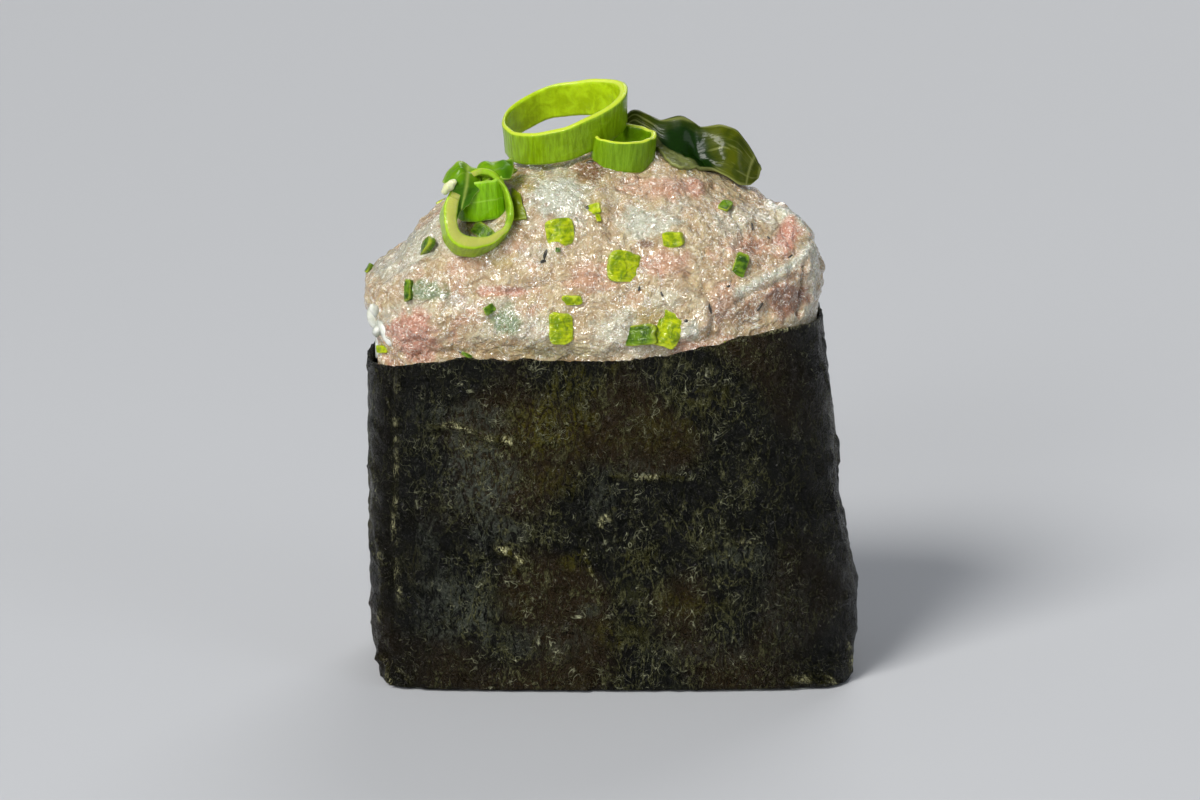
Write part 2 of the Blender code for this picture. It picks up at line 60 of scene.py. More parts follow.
# Nori, as in the solids
NORI_WIDTH = 35.0
NORI_THICK = 0.35
NORI_FOOT = 0.3
LAP_START = math.radians(240.0)
LAP_END = math.radians(208.0)
RIM_RISE_RIGHT = 3.0
RIM_DROP_LEFT = 1.5
LEFT_HALF = ((0.0, 25.2), (5.0, 26.2), (36.0, 26.3))
RIGHT_HALF = ((0.0, 25.6), (5.0, 26.5), (9.0, 26.4), (19.5, 24.2), (24.0, 24.2), (38.0, 22.4))
HALF_DEPTH = ((0.0, 14.0), (5.0, 14.1), (38.0, 13.6))
SQUARE_FOOT = 5.0
SQUARE_RIM = 3.2
FLARES = ((208.0, 6.0, 4.0, 0.9), (333.0, 7.0, 4.0, 0.7))
SWEEP = 2.0 * math.pi + LAP_START - LAP_END
FULL_TURN = 2.0 * math.pi / SWEEP

# Rice, as in the solids
RICE_TOP = 28.7
RICE_CORE_FOOT = 1.0
GRAIN_LONG = 5.4
GRAIN_THICK = 2.2
GRAIN_REST = 0.95
LIP_ARC = (math.radians(156.0), math.radians(191.0))

# Tuna, as in the solids
CREST = (
    (-25.7, 41.6), (-22.1, 44.6), (-19.0, 47.7), (-16.5, 50.3), (-11.1, 53.0), (-1.1, 54.1),
    (5.1, 53.3), (13.0, 50.7), (15.9, 49.6), (18.2, 49.0), (20.6, 46.9), (22.0, 43.0),
)
MOUND_HALVES = (25.7, 22.2, 13.3)
MOUND_SQUARE = 3.0
MOUND_EDGE = 37.4
TUNA_FOOT = RICE_TOP + GAP
LIP_ROOM = 2.5
LIP_FRONT = math.radians(164.0)    # the tuna fills the band up to here at the front of its left end
LOBES = (
    (7.5, 1.5, 52.5, 5.5, 2.2),
    (21.6, -3.0, 40.8, 3.4, 0.0),
    (18.4, -9.5, 39.8, 3.0, -1.1),
    (19.6, -3.5, 47.6, 2.4, 0.9),
    (12.6, -6.5, 49.4, 2.4, 0.7),
    (-6.0, -7.5, 50.5, 4.0, 0.6),
    (7.5, -9.5, 47.0, 4.0, 0.5),
    (-20.0, -10.5, 38.5, 4.5, 0.7),
    (2.0, -13.0, 40.0, 6.0, 0.4),
    (14.0, 9.0, 44.0, 5.0, 0.8),
    (-10.0, 9.5, 46.0, 6.0, 0.9),
    (2.0, 11.0, 42.0, 5.0, -0.7),
    (-2.5, -1.5, 54.0, 3.4, 0.8),
)
FOLDS = (
    ((14.0, -10.2, 42.2), (20.4, -6.0, 45.6), 1.3, 0.35),
    ((16.0, -8.0, 46.0), (21.2, -3.0, 44.6), 0.8, -0.9),
    ((8.6, -12.6, 37.6), (9.8, -9.8, 44.6), 0.8, -0.8),
    ((-17.0, -12.4, 42.4), (-11.5, -12.2, 42.6), 0.7, -0.5),
    ((-22.5, -9.5, 46.0), (-14.5, -4.5, 51.2), 0.9, 0.5),
)
LUMP_SIZE = 5.5
LUMP_HEIGHT = 0.55

# Bits of scallion in the face of the tuna: (x, z, width, height, turn, kind)
CHIPS = (
    (1.4, 44.5, 3.6, 3.1, -12.0, "lime"),
    (-5.2, 47.8, 2.8, 3.0, 8.0, "lime"),
    (-4.0, 41.2, 2.2, 1.0, 0.0, "lime"),
    (-5.1, 38.4, 2.5, 3.2, 4.0, "lime"),
    (2.4, 37.7, 4.4, 2.2, 8.0, "green"),
    (5.6, 38.2, 3.0, 3.6, -24.0, "lime"),
    (6.2, 47.1, 2.2, 1.6, 10.0, "lime"),
    (13.1, 44.3, 1.4, 2.8, -18.0, "green"),
    (11.7, 49.8, 1.2, 1.5, -30.0, "green"),
    (-20.6, 41.8, 1.0, 2.2, 14.0, "green"),
    (-12.4, 40.2, 1.2, 0.9, 30.0, "green"),
    (-19.1, 45.6, 3.0, 1.4, 48.0, "green"),
    (-1.7, 49.9, 1.5, 1.2, 20.0, "lime"),
)
CHIP_THICK = 1.0
CHIP_PROUD = 0.34
BACK_CHIPS = 12
# More small bits, where the photo shows them: (pixel across, pixel down, width, height, turn, kind)
SMALL_CHIPS = (
    (483, 232, 2.6, 1.5, -30.0, "green"),
    (455, 247, 0.8, 1.3, 20.0, "green"),
    (370, 269, 1.0, 1.1, 0.0, "green"),
    (383, 349, 1.5, 0.8, 5.0, "lime"),
    (558, 250, 0.5, 0.5, 0.0, "green"),
    (467, 355, 1.2, 0.4, -25.0, "green"),
    (598, 219, 0.5, 0.8, 10.0, "lime"),
    (728, 344, 1.1, 0.6, 0.0, "green"),
    (512, 172, 1.2, 0.8, -10.0, "green"),
)


def smooth(value):
    """A step from 0 to 1 with soft ends."""
    value = np.clip(value, 0.0, 1.0)
    return value * value * (3.0 - 2.0 * value)


def along(stations, at):
    """The value at each place of a line of (place, value) stations."""
    places, values = zip(*stations)
    return np.interp(at, places, values)


def rounded(phi, left, right, deep, square):
    """Distance to a rounded rectangle's side at a bearing."""
    across = np.cos(phi) / np.where(np.cos(phi) > 0, right, left)
    away = np.sin(phi) / deep
    return (np.abs(across) ** square + np.abs(away) ** square) ** (-1.0 / square)


def stack(x, y, z):
    """Points from their three coordinates."""
    return np.stack(np.broadcast_arrays(x, y, z), axis=-1).astype(float)


def unit(vectors):
    """Vectors scaled to length one."""
    return vectors / np.maximum(np.linalg.norm(vectors, axis=-1, keepdims=True), 1e-9)


def noise_at(points, size, shift=0.0):
    """Smooth noise between about -1 and 1, with features of that size."""
    flat = np.reshape(points, (-1, 3)) / size + np.array((shift, 0.0, 0.0))
    values = np.fromiter((noise.noise(Vector(point)) for point in flat), float, len(flat))
    return values.reshape(np.shape(points)[:-1])


def band_plan(phi, z):
    """Points on the outside of the nori at bearings and heights."""
    share = np.clip(z / NORI_WIDTH, 0.0, 1.0)
    square = SQUARE_FOOT + (SQUARE_RIM - SQUARE_FOOT) * share
    reach = rounded(phi, along(LEFT_HALF, z), along(RIGHT_HALF, z), along(HALF_DEPTH, z), square)
    for bearing, spread, height, out in FLARES:
        turn = np.degrees(phi) % 360.0 - bearing
        reach = reach + out * np.exp(-(turn / spread) ** 2) * smooth(1.0 - z / height)
    return stack(reach * np.cos(phi), reach * np.sin(phi), z)


def band_point(phi, z, inset):
    """The same points moved in towards the rice."""
    step = 0.01
    tangent = band_plan(phi + step, z) - band_plan(phi - step, z)
    inward = unit(stack(-tangent[..., 1], tangent[..., 0], 0.0))
    return band_plan(phi, z) + inward * np.asarray(inset)[..., None]


def rim_height(phi):
    """Height of the nori's upper edge: lower at the left end, higher at the right."""
    x = rounded(phi, 26.0, 22.4, 13.6, SQUARE_RIM) * np.cos(phi)
    return NORI_WIDTH + RIM_RISE_RIGHT * smooth(x / 20.0) - RIM_DROP_LEFT * smooth((-x - 14.0) / 11.0)


def wrap_inset(share):
    """How deep the strip's middle lies: under its own end at the start, outermost at the end."""
    lap = 1.0 - FULL_TURN
    outer = smooth((share - lap) / (FULL_TURN - lap))
    return NORI_THICK / 2 + (NORI_THICK + GAP) * (1.0 - outer)


def filling_inset(phi):
    """How far inside the band's outline the filling stays."""
    share = ((LAP_START - phi) % (2.0 * math.pi)) / SWEEP
    own = wrap_inset(share) + NORI_THICK / 2 + GAP
    near_lap = smooth((share - FULL_TURN + 0.07) / 0.06)
    deepest = wrap_inset(0.0) + NORI_THICK / 2 + GAP
    return own + (deepest - own) * near_lap


def in_photo(points):
    """Where points show in the photo, in its pixels."""
    away = points - np.array(CAMERA_AT)
    depth = away[..., 1] * math.cos(ELEVATION) - away[..., 2] * math.sin(ELEVATION)
    rise = away[..., 1] * math.sin(ELEVATION) + away[..., 2] * math.cos(ELEVATION)
    across = PHOTO_WIDE / 2 + PIXELS * away[..., 0] / depth
    return np.stack((across, PHOTO_HIGH / 2 - PIXELS * rise / depth), -1)


def sight_line(pixel):
    """The direction from the camera through a pixel of the photo."""
    across = (pixel[0] - PHOTO_WIDE / 2) / PIXELS
    rise = (PHOTO_HIGH / 2 - pixel[1]) / PIXELS
    forward = math.cos(ELEVATION) + rise * math.sin(ELEVATION)
    return (across, forward, rise * math.cos(ELEVATION) - math.sin(ELEVATION))


def through(pixel, deep):
    """The point that a pixel of the photo shows, at a depth."""
    line = np.array(sight_line(pixel))
    return np.array(CAMERA_AT) + line * (deep - CAMERA_AT[1]) / line[1]


def beside(points, start, end):
    """How far points lie from a stretch of line, and where along it each is nearest."""
    run = np.subtract(end, start)
    share = np.clip((points - np.array(start)) @ run / (run @ run), 0.0, 1.0)
    return np.linalg.norm(points - np.array(start) - share[..., None] * run, axis=-1), share


def off_line(seen, line):
    """Distance in pixels from places in the photo to a line of pixels."""
    return np.minimum.reduce([beside(seen, start, end)[0] for start, end in zip(line, line[1:])])


def add_patches(amounts, patches, seen, wobble, shown, reach, fall):
    """Raises each kind of colour where its patches lie in the photo, fading outwards at uneven edges."""
    for kind, places in patches.items():
        for across, down, wide, high, strength in places:
            away = np.hypot((seen[..., 0] - across) / wide, (seen[..., 1] - down) / high) * wobble
            amounts[kind] = np.maximum(amounts[kind], smooth(reach - fall * away) * strength * shown)


def mound_swell(points):
    """Height of the tuna's swells, dents, ridges and lumps at points."""
    total = LUMP_HEIGHT * noise_at(points, LUMP_SIZE, SEED)
    for x, y, z, radius, height in LOBES:
        away = np.linalg.norm(points - np.array((x, y, z)), axis=-1)
        total += height * np.exp(-(away / radius) ** 2)
    for start, end, half, height in FOLDS:
        away, share = beside(points, start, end)
        total += height * np.exp(-(away / half) ** 2) * smooth(4.0 * share) * smooth(4.0 - 4.0 * share)
    return total


def mound_dome(phi, share):
    """The smooth dome above the rim; share is 1 at its widest and 0 at the crest."""
    left, right, deep = MOUND_HALVES
    widest = rounded(phi, left, right, deep, MOUND_SQUARE)
    facing = (widest * np.abs(np.sin(phi)) / deep) ** 1.5
    rise = np.maximum(1.0 - facing * share ** 2.6, 0.0) ** 0.6
    x = widest * share * np.cos(phi)
    return stack(x, widest * share * np.sin(phi), MOUND_EDGE + (along(CREST, x) - MOUND_EDGE) * rise)


def mound_point(phi, level):
    """Points on the tuna: its flat underside, its side inside the band, then the dome."""
    turned = np.arctan2(np.sin(phi), np.cos(phi))
    rim = rim_height(phi)
    starts = np.where(turned > 0.0, math.radians(142.0), LIP_FRONT)
    lip = smooth((np.abs(turned) - starts) / math.radians(10.0)) * LIP_ROOM
    inset = filling_inset(phi)

    climb = np.clip((level + 0.8) / 0.5, 0.0, 1.0)
    z = TUNA_FOOT + climb * (rim - 0.4 - TUNA_FOOT)
    inside = band_point(phi, z, inset + lip)
    inside[..., :2] *= np.clip((level + 1.0) / 0.2, 0.0, 1.0)[..., None]

    shoulder = mound_dome(phi, np.ones_like(phi))
    climb = np.clip((level + 0.3) / 0.25, 0.0, 1.0)
    inner = band_point(phi, rim, inset + lip * (1.0 - smooth(3.0 * climb - 1.6)))
    side = inner + (shoulder - inner) * smooth(climb * 1.4)[..., None]
    side[..., 2] = rim + 0.2 + climb * (shoulder[..., 2] - rim - 0.2)

    dome = mound_dome(phi, np.clip(np.cos((level + 0.05) / 1.05 * math.pi / 2), 0.0, 1.0) ** 0.85)
    above = np.where((level < -0.05)[..., None], side, dome)
    heart = stack(np.clip(above[..., 0], -14.0, 11.0), 0.0, 36.0)
    lift = mound_swell(above) * smooth((above[..., 2] - rim - 0.5) / 2.0)
    above = above + unit(above - heart) * lift[..., None]
    return np.where((level < -0.3)[..., None], inside, above)


# Meshes

def make_object(name, points, faces, material, values=None, smooth_angle=0.0):
    """A mesh object in the frame's metres from points in millimetres, with named values at its points."""
    placed = (np.reshape(points, (-1, 3)) - np.array(MIDDLE)) * MM
    mesh = bpy.data.meshes.new(name)
    mesh.from_pydata(placed.tolist(), [], faces if isinstance(faces, list) else faces.tolist())
    mesh.validate()
    mesh.shade_smooth()
    if smooth_angle:
        mesh.set_sharp_from_angle(angle=math.radians(smooth_angle))
    store(mesh, values or {})
    mesh.materials.append(material)
    made = bpy.data.objects.new(name, mesh)
    bpy.context.scene.collection.objects.link(made)
    return made


def store(mesh, values):
    """Keeps named values at a mesh's points, for its material."""
    for label, amounts in values.items():
        layer = mesh.attributes.new(label, "FLOAT", "POINT")
        layer.data.foreach_set("value", np.ravel(amounts).astype(np.float32))


def thicken(piece, thick):
    """Gives a sheet a thickness in millimetres, half to each side."""
    solid = piece.modifiers.new("thickness", "SOLIDIFY")
    solid.thickness = thick * MM
    solid.offset = 0.0


def grid_faces(rows, columns, wrap_rows=False, wrap_columns=False):
    """Quads of a grid of points, joined round where asked."""
    row = np.arange(rows if wrap_rows else rows - 1)[:, None]
    column = np.arange(columns if wrap_columns else columns - 1)[None, :]
    next_row = (row + 1) % rows
    next_column = (column + 1) % columns
    corners = (row * columns + column, row * columns + next_column,
               next_row * columns + next_column, next_row * columns + column)
    return np.stack(np.broadcast_arrays(*corners), -1).reshape(-1, 4)


def join_meshes(parts):
    """Points, faces and values of several (points, faces, values) meshes as one."""
    points, faces, values, count = [], [], {}, 0
    for own_points, own_faces, own_values in parts:
        own_points = np.reshape(own_points, (-1, 3))
        points.append(own_points)
        faces.extend([int(index) + count for index in face] for face in own_faces)
        for label, amounts in own_values.items():
            amounts = np.broadcast_to(np.ravel(amounts) if np.ndim(amounts) else amounts, len(own_points))
            values.setdefault(label, []).append(amounts)
        count += len(own_points)
    return np.concatenate(points), faces, {label: np.concatenate(own) for label, own in values.items()}


def finish_piece(piece, nodes):
    """Says what a piece rides on, and hides the imported parts that it stands for."""
    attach(piece, "root")
    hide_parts(*nodes)
    return piece


# Materials

class Finish:
    """A Principled material whose nodes are added one at a time."""

    def __init__(self, name, **settings):
        self.material = bpy.data.materials.new(name)
        self.material.use_nodes = True
        self.tree = self.material.node_tree
        self.shader = self.tree.nodes["Principled BSDF"]
        self.set(**settings)
        place = self.add("TexCoord").outputs["Object"]
        self.place = self.add("VectorMath", {0: place, "Scale": 1.0 / MM}, "SCALE").outputs[0]

    def put(self, value, socket):
        """Links an output to a socket, or sets the socket to a value."""
        if isinstance(value, bpy.types.NodeSocket):
            self.tree.links.new(value, socket)
        elif isinstance(value, tuple) and len(value) == 3 and socket.type == "RGBA":
            socket.default_value = (*value, 1.0)
        else:
            socket.default_value = value

    def add(self, kind, inputs=None, operation=None):
        """A new node, with values or links at its inputs."""
        node = self.tree.nodes.new("ShaderNode" + kind)
        if operation:
            node.operation = operation
        for label, value in (inputs or {}).items():
            self.put(value, node.inputs[label])
        return node

    def leaning(self, lean, squash):
        """The place, leant over sideways and squashed downwards, which draws noise out along a slant."""
        inputs = {"Vector": self.place, "Rotation": (0.0, lean, 0.0), "Scale": (1.0, 1.0, squash)}
        return self.add("Mapping", inputs).outputs[0]

    def moved(self, seed, place=None):
        """The place, moved along so that the same noise gives another pattern."""
        shift = (seed * 37.0, seed * 17.0, seed * 29.0)
        return self.add("VectorMath", {0: place or self.place, 1: shift}, "ADD").outputs[0]

    def noise(self, size, detail=4.0, roughness=0.55, distortion=0.0, place=None):
        """Noise with features of a size in millimetres."""
        inputs = {"Vector": place or self.place, "Scale": 1.0 / size, "Detail": detail,
                  "Roughness": roughness, "Distortion": distortion}
        return self.add("TexNoise", inputs).outputs["Fac"]

    def stripes(self, size, detail, roughness, across):
        """Noise drawn out along a piece, from the values stored across and along it."""
        along_it = self.times(self.value("level"), STRIPE_DRIFT)
        place = self.add("CombineXYZ", {0: self.value(across), 1: along_it}).outputs[0]
        return self.noise(size, detail, roughness, 0.1, place)

    def threads(self, size, half, seed):
        """Thin winding lines, where noise passes its middle value, broken up by more noise."""
        winding = self.noise(size, 1.0, 0.5, 1.6, self.moved(seed))
        broken = self.span(self.noise(size * 0.9, 1.0, 0.5, 0.0, self.moved(seed + 5.0)), 0.47, 0.58)
        return self.times(self.span(self.apart(winding, 0.5), 0.0, half, 1.0, 0.0), broken)

    def value(self, name):
        """A value stored at the mesh's points."""
        node = self.add("Attribute")
        node.attribute_name = name
        return node.outputs["Fac"]

    def span(self, source, low, high, to_low=0.0, to_high=1.0):
        """Maps a range onto another, clamped."""
        inputs = {"Value": source, "From Min": low, "From Max": high, "To Min": to_low, "To Max": to_high}
        node = self.add("MapRange", inputs)
        node.interpolation_type = "SMOOTHSTEP"
        return node.outputs[0]

    def sum(self, operation, first, second=0.0):
        """One sum of two numbers."""
        return self.add("Math", {0: first, 1: second}, operation).outputs[0]

    def times(self, first, second):
        return self.sum("MULTIPLY", first, second)

    def apart(self, value, middle):
        """How far a value is from a middle one."""
        return self.sum("ABSOLUTE", self.sum("SUBTRACT", value, middle))

    def blend(self, share, first, second):
        """A colour between two."""
        node = self.add("Mix")
        node.data_type = "RGBA"
        for label, value in (("Factor", share), ("A", first), ("B", second)):
            self.put(value, node.inputs[label])
        return node.outputs["Result"]

    def relief(self, *layers, under=None):
        """Relief of one or more layers over one another, each a height and its depth in millimetres."""
        for height, depth in layers:
            node = self.add("Bump", {"Distance": depth * MM, "Height": height})
            if under:
                self.put(under, node.inputs["Normal"])
            under = node.outputs[0]
        return under

    def set(self, **values):
        """Sets or links the shader's own sockets."""
        for label, value in values.items():
            self.put(value, self.shader.inputs[label.replace("_", " ")])
        return self.material


def shades(colour):
    """A darker and a lighter shade of a colour."""
    return tuple(0.82 * part for part in colour), tuple(min(1.18 * part + 0.005, 1.0) for part in colour)


STRIPE_DRIFT = 0.12    # how fast stripes change along a piece, against across it
GREEN_GLOW = (0.7, 1.0, 0.1)    # how far each colour of light spreads inside scallion
NORI_COLOURS = {
    "deep": (0.0003, 0.0004, 0.0002),
    "base": (0.0042, 0.0046, 0.0016),
    "cloud": (0.019, 0.020, 0.005),
    "brown": (0.020, 0.011, 0.002),
    "grey": (0.050, 0.056, 0.042),
    "olive": (0.075, 0.068, 0.004),
    # fibre flecks, partly painted highlight on the fibres
    "fleck_and_painted_highlight": (0.090, 0.095, 0.044),
    # painted highlight along the creases
    "crease_and_painted_highlight": (0.095, 0.095, 0.040),
    # painted glints along the fibres
    "painted_glint_thread": (0.44, 0.45, 0.28),
    # painted shade at the ends of the band's front
    "painted_shade": (0.0008, 0.0009, 0.0003),
    # painted glints along the ridges
    "painted_glint": (0.80, 0.78, 0.42),
}
TUNA_COLOURS = {
    "dark flesh": (0.36, 0.248, 0.122),
    "light flesh": (0.48, 0.378, 0.208),
    "blush": (0.44, 0.235, 0.140),
    "fat": (0.42, 0.425, 0.325),
    "pink": (0.44, 0.190, 0.122),
    # brown flesh; in two recesses at the right the same colour paints shadow
    "brown": (0.135, 0.050, 0.018),
    "green": (0.10, 0.19, 0.08),
    "yellow": (0.34, 0.25, 0.03),
    # painted shade in the hollows between the lumps
    "painted_pit_shade": (0.24, 0.130, 0.058),
    # painted glints, as pale winding threads
    "painted_glint_thread": (0.95, 0.93, 0.84),
}


def nori_material():
    """Dry nori: near black, with matted fibres, grey and olive clouds, painted highlights along fine creases
    and fibre flecks, painted glints on threads and ridges, and painted shade towards the ends of its front.
    """
    made = Finish("nori", Specular_IOR_Level=0.15)
    cloud = made.noise(7.0, 3.0, 0.6, 0.5)
    patch = made.noise(2.4, 3.0, 0.6, 1.0)
    streak = made.noise(1.1, 3.0, 0.65, 2.5, made.leaning(0.45, 0.5))
    fibre = made.noise(0.45, 2.0, 0.6, 2.0, made.leaning(0.35, 0.5))
    streaks = made.span(streak, 0.42, 0.60)
    colour = made.blend(streaks, NORI_COLOURS["deep"], NORI_COLOURS["base"])
    shares = (
        ("cloud", made.times(made.span(cloud, 0.52, 0.68), streaks)),
        ("brown", made.times(made.value("brown"), 0.7)),
        ("grey", made.times(made.value("grey"), made.span(streak, 0.42, 0.58, 0.05, 1.0))),
        ("olive", made.times(made.value("olive"), made.span(streak, 0.42, 0.58, 0.03, 0.8))),
        # fibre flecks, lightened as painted highlight
        ("fleck_and_painted_highlight", made.times(made.span(fibre, 0.58, 0.70), made.span(patch, 0.46, 0.60, 0.0, 0.7))),
    )
    for kind, share in shares:
        colour = made.blend(share, colour, NORI_COLOURS[kind])
    relief = made.relief((patch, 1.3))
    leaning = made.leaning(0.5, 0.55)
    for size, seed, half in ((3.4, 11.0, 0.030), (1.7, 12.0, 0.036)):
        winding = made.noise(size, 2.0, 0.55, 0.8, made.moved(seed, leaning))
        line = made.span(made.apart(winding, 0.5), 0.0, half, 1.0, 0.0)
        crease_and_painted_highlight = made.times(line, made.span(fibre, 0.40, 0.55))
        share = made.times(crease_and_painted_highlight, made.span(cloud, 0.38, 0.58, 0.15, 0.8))
        # painted highlight along each crease line, which also stands out as relief
        colour = made.blend(share, colour, NORI_COLOURS["crease_and_painted_highlight"])
        relief = made.relief((crease_and_painted_highlight, 0.25), under=relief)
    relief = made.relief((streak, 1.1), (made.noise(0.6, 1.0, 0.5, 1.5), 0.30), under=relief)
    # painted glints on winding threads over the fibres
    for size, half, seed, strength in ((2.2, 0.016, 1.0, 0.8), (1.3, 0.018, 2.0, 0.6)):
        line = made.times(made.threads(size, half, seed), made.span(patch, 0.46, 0.60))
        colour = made.blend(made.times(line, strength), colour, NORI_COLOURS["painted_glint_thread"])
        relief = made.relief((line, 0.12), under=relief)
    # painted shade towards the ends of the front
    colour = made.blend(made.value("painted_shade"), colour, NORI_COLOURS["painted_shade"])
    # painted glints where the ridges catch the light
    painted_glint = made.times(made.value("painted_glint"), made.span(fibre, 0.46, 0.56))
    colour = made.blend(painted_glint, colour, NORI_COLOURS["painted_glint"])
    rough = made.span(patch, 0.35, 0.65, 0.26, 0.13)
    return made.set(Base_Color=colour, Roughness=rough, Normal=relief)


def tuna_material():
    """Minced fatty tuna: peach and cream flesh with pale threads that are painted glints, painted shade in
    its pits and in two recesses, under an uneven wet film.
    """
    made = Finish("tuna", Roughness=0.42, Specular_IOR_Level=0.2, Coat_Weight=1.0, Coat_Roughness=0.05,
                  Coat_IOR=1.8, Subsurface_Weight=0.3, Subsurface_Scale=0.7 * MM,
                  Subsurface_Radius=(1.0, 0.60, 0.36))
    cloud = made.noise(5.5, 3.0, 0.6, 0.5)
    patch = made.noise(1.6, 4.0, 0.6, 0.9)
    grain = made.noise(0.5, 2.0, 0.6, 1.2)
    body = made.blend(made.span(patch, 0.38, 0.62), TUNA_COLOURS["dark flesh"], TUNA_COLOURS["light flesh"])
    body = made.blend(made.span(cloud, 0.52, 0.68, 0.0, 0.7), body, TUNA_COLOURS["blush"])
    for kind in ("fat", "pink", "brown", "green", "yellow"):
        body = made.blend(made.value(kind), body, TUNA_COLOURS[kind])
    # painted shade where the fine relief is low
    body = made.blend(made.span(grain, 0.30, 0.48, 0.55, 0.0), body, TUNA_COLOURS["painted_pit_shade"])
    some = made.span(cloud, 0.38, 0.58, 0.4, 1.0)
    # painted glints on winding threads, where the film is wet
    for size, half, seed in ((0.8, 0.026, 6.0), (0.55, 0.030, 8.0), (0.65, 0.026, 9.0)):
        body = made.blend(made.times(made.threads(size, half, seed), some), body, TUNA_COLOURS["painted_glint_thread"])
    wet = made.span(made.noise(3.2, 2.0, 0.5, 0.5, made.moved(4.0)), 0.38, 0.60, 0.45, 1.0)
    broad = made.times(made.noise(1.0, 1.0, 0.5, 1.4), wet)
    fine = made.times(made.noise(0.5, 0.0, 0.5, 1.0, made.moved(2.0)), wet)
    return made.set(Base_Color=body, Normal=made.relief((patch, 0.9), (grain, 0.10)),
                    Coat_Normal=made.relief((broad, 0.8), (fine, 0.30)))


def scallion_material(name, skin, flesh, inside, rim, skin_from, line=-1.0):
    """Cut scallion: striped skin outside, paler flesh inside, and a pale rim where it was cut."""
    made = Finish(name, Roughness=0.30, Coat_Weight=0.3, Coat_Roughness=0.05, Specular_IOR_Level=0.1,
                  Subsurface_Weight=0.3, Subsurface_Scale=0.8 * MM, Subsurface_Radius=GREEN_GLOW)
    stripes = made.stripes(0.30, 3.0, 0.6, "turn")
    mottle = made.noise(1.3, 4.0, 0.6, 0.4)
    outer = made.blend(made.span(stripes, 0.33, 0.67), *shades(skin))
    inner = made.blend(made.span(mottle, 0.35, 0.65), *shades(inside))
    side = made.blend(made.value("outer"), inner, outer)
    flesh_here = made.blend(made.value("thin"), flesh, inner)
    cut = made.blend(made.span(made.value("outer"), skin_from, skin_from + 0.15), flesh_here, rim)
    colour = made.blend(made.value("cut"), side, cut)
    if line > 0.0:
        near = made.span(made.apart(made.value("level"), line), 0.02, 0.14, 0.7, 0.0)
        colour = made.blend(near, colour, rim)
    relief = made.relief((stripes, 0.07), (made.noise(0.9, 3.0), 0.10))
    return made.set(Base_Color=colour, Normal=relief, Coat_Normal=relief)


def leaf_material(name, deep, light, vein):
    """A wet folded leaf with fine veins along it."""
    made = Finish(name, Roughness=0.35, Coat_Weight=0.15, Coat_Roughness=0.03, Specular_IOR_Level=0.08,
                  Subsurface_Weight=0.08, Subsurface_Scale=0.6 * MM, Subsurface_Radius=(0.5, 1.0, 0.1))
    lines = made.stripes(0.35, 2.0, 0.5, "across")
    mottle = made.noise(2.2, 4.0, 0.6, 0.5)
    # the light value also paints shade: darker in the right leaf's hollow and down the torn leaf into the
    # ring
    lit = made.times(made.value("light"), made.span(mottle, 0.35, 0.65, 0.45, 1.0))
    colour = made.blend(lit, deep, light)
    veins = made.times(made.span(lines, 0.56, 0.72, 0.0, 0.35), made.value("light"))
    colour = made.blend(veins, colour, vein)
    colour = made.blend(made.value("pale"), colour, vein)
    relief = made.relief((lines, 0.05), (made.noise(2.6, 1.0), 0.45))
    return made.set(Base_Color=colour, Normal=relief, Coat_Normal=relief)


def rice_material():
    """Cooked rice: off-white, moist and a little translucent."""
    made = Finish("rice", Roughness=0.38, Coat_Weight=0.35, Coat_Roughness=0.12, Subsurface_Weight=0.5,
                  Subsurface_Scale=1.3 * MM, Subsurface_Radius=(1.0, 0.95, 0.80))
    cloud = made.span(made.noise(1.4, 3.0), 0.35, 0.65)
    colour = made.blend(cloud, (0.40, 0.42, 0.35), (0.66, 0.67, 0.60))
    relief = made.relief((made.noise(0.45, 3.0), 0.10), (made.noise(1.1, 2.0), 0.25))
    return made.set(Base_Color=colour, Normal=relief)


def chip_material():
    """Chips of scallion, lime or green, with a paler cut rim."""
    made = Finish("scallion_chips", Roughness=0.30, Coat_Weight=0.36, Coat_Roughness=0.04,
                  Specular_IOR_Level=0.1, Subsurface_Weight=0.25, Subsurface_Scale=0.7 * MM,
                  Subsurface_Radius=GREEN_GLOW)
    stripes = made.stripes(0.30, 2.0, 0.6, "across")
    mottle = made.noise(0.9, 4.0, 0.6, 0.5)
    both = made.sum("ADD", stripes, made.sum("ADD", mottle, mottle))
    mixed = made.span(made.times(both, 0.333), 0.38, 0.62)
    lime = made.blend(mixed, (0.13, 0.21, 0.001), (0.42, 0.49, 0.003))
    green = made.blend(mixed, (0.02, 0.06, 0.002), (0.12, 0.22, 0.008))
    colour = made.blend(made.value("green"), lime, green)
    colour = made.blend(made.times(made.value("rim"), 0.6), colour, (0.44, 0.50, 0.04))
    relief = made.relief((stripes, 0.14), (made.noise(1.0, 1.0, 0.5, 1.2), 0.30))
    return made.set(Base_Color=colour, Normal=relief, Coat_Normal=relief)


def speck_material():
    """Black flecks with a brown cast."""
    made = Finish("nori_specks", Roughness=0.35, Coat_Weight=0.5, Coat_Roughness=0.1)
    colour = made.blend(made.span(made.noise(0.5), 0.4, 0.6), (0.004, 0.004, 0.003), (0.03, 0.022, 0.01))
    return made.set(Base_Color=colour, Normal=made.relief((made.noise(0.2), 0.05)))


# Nori

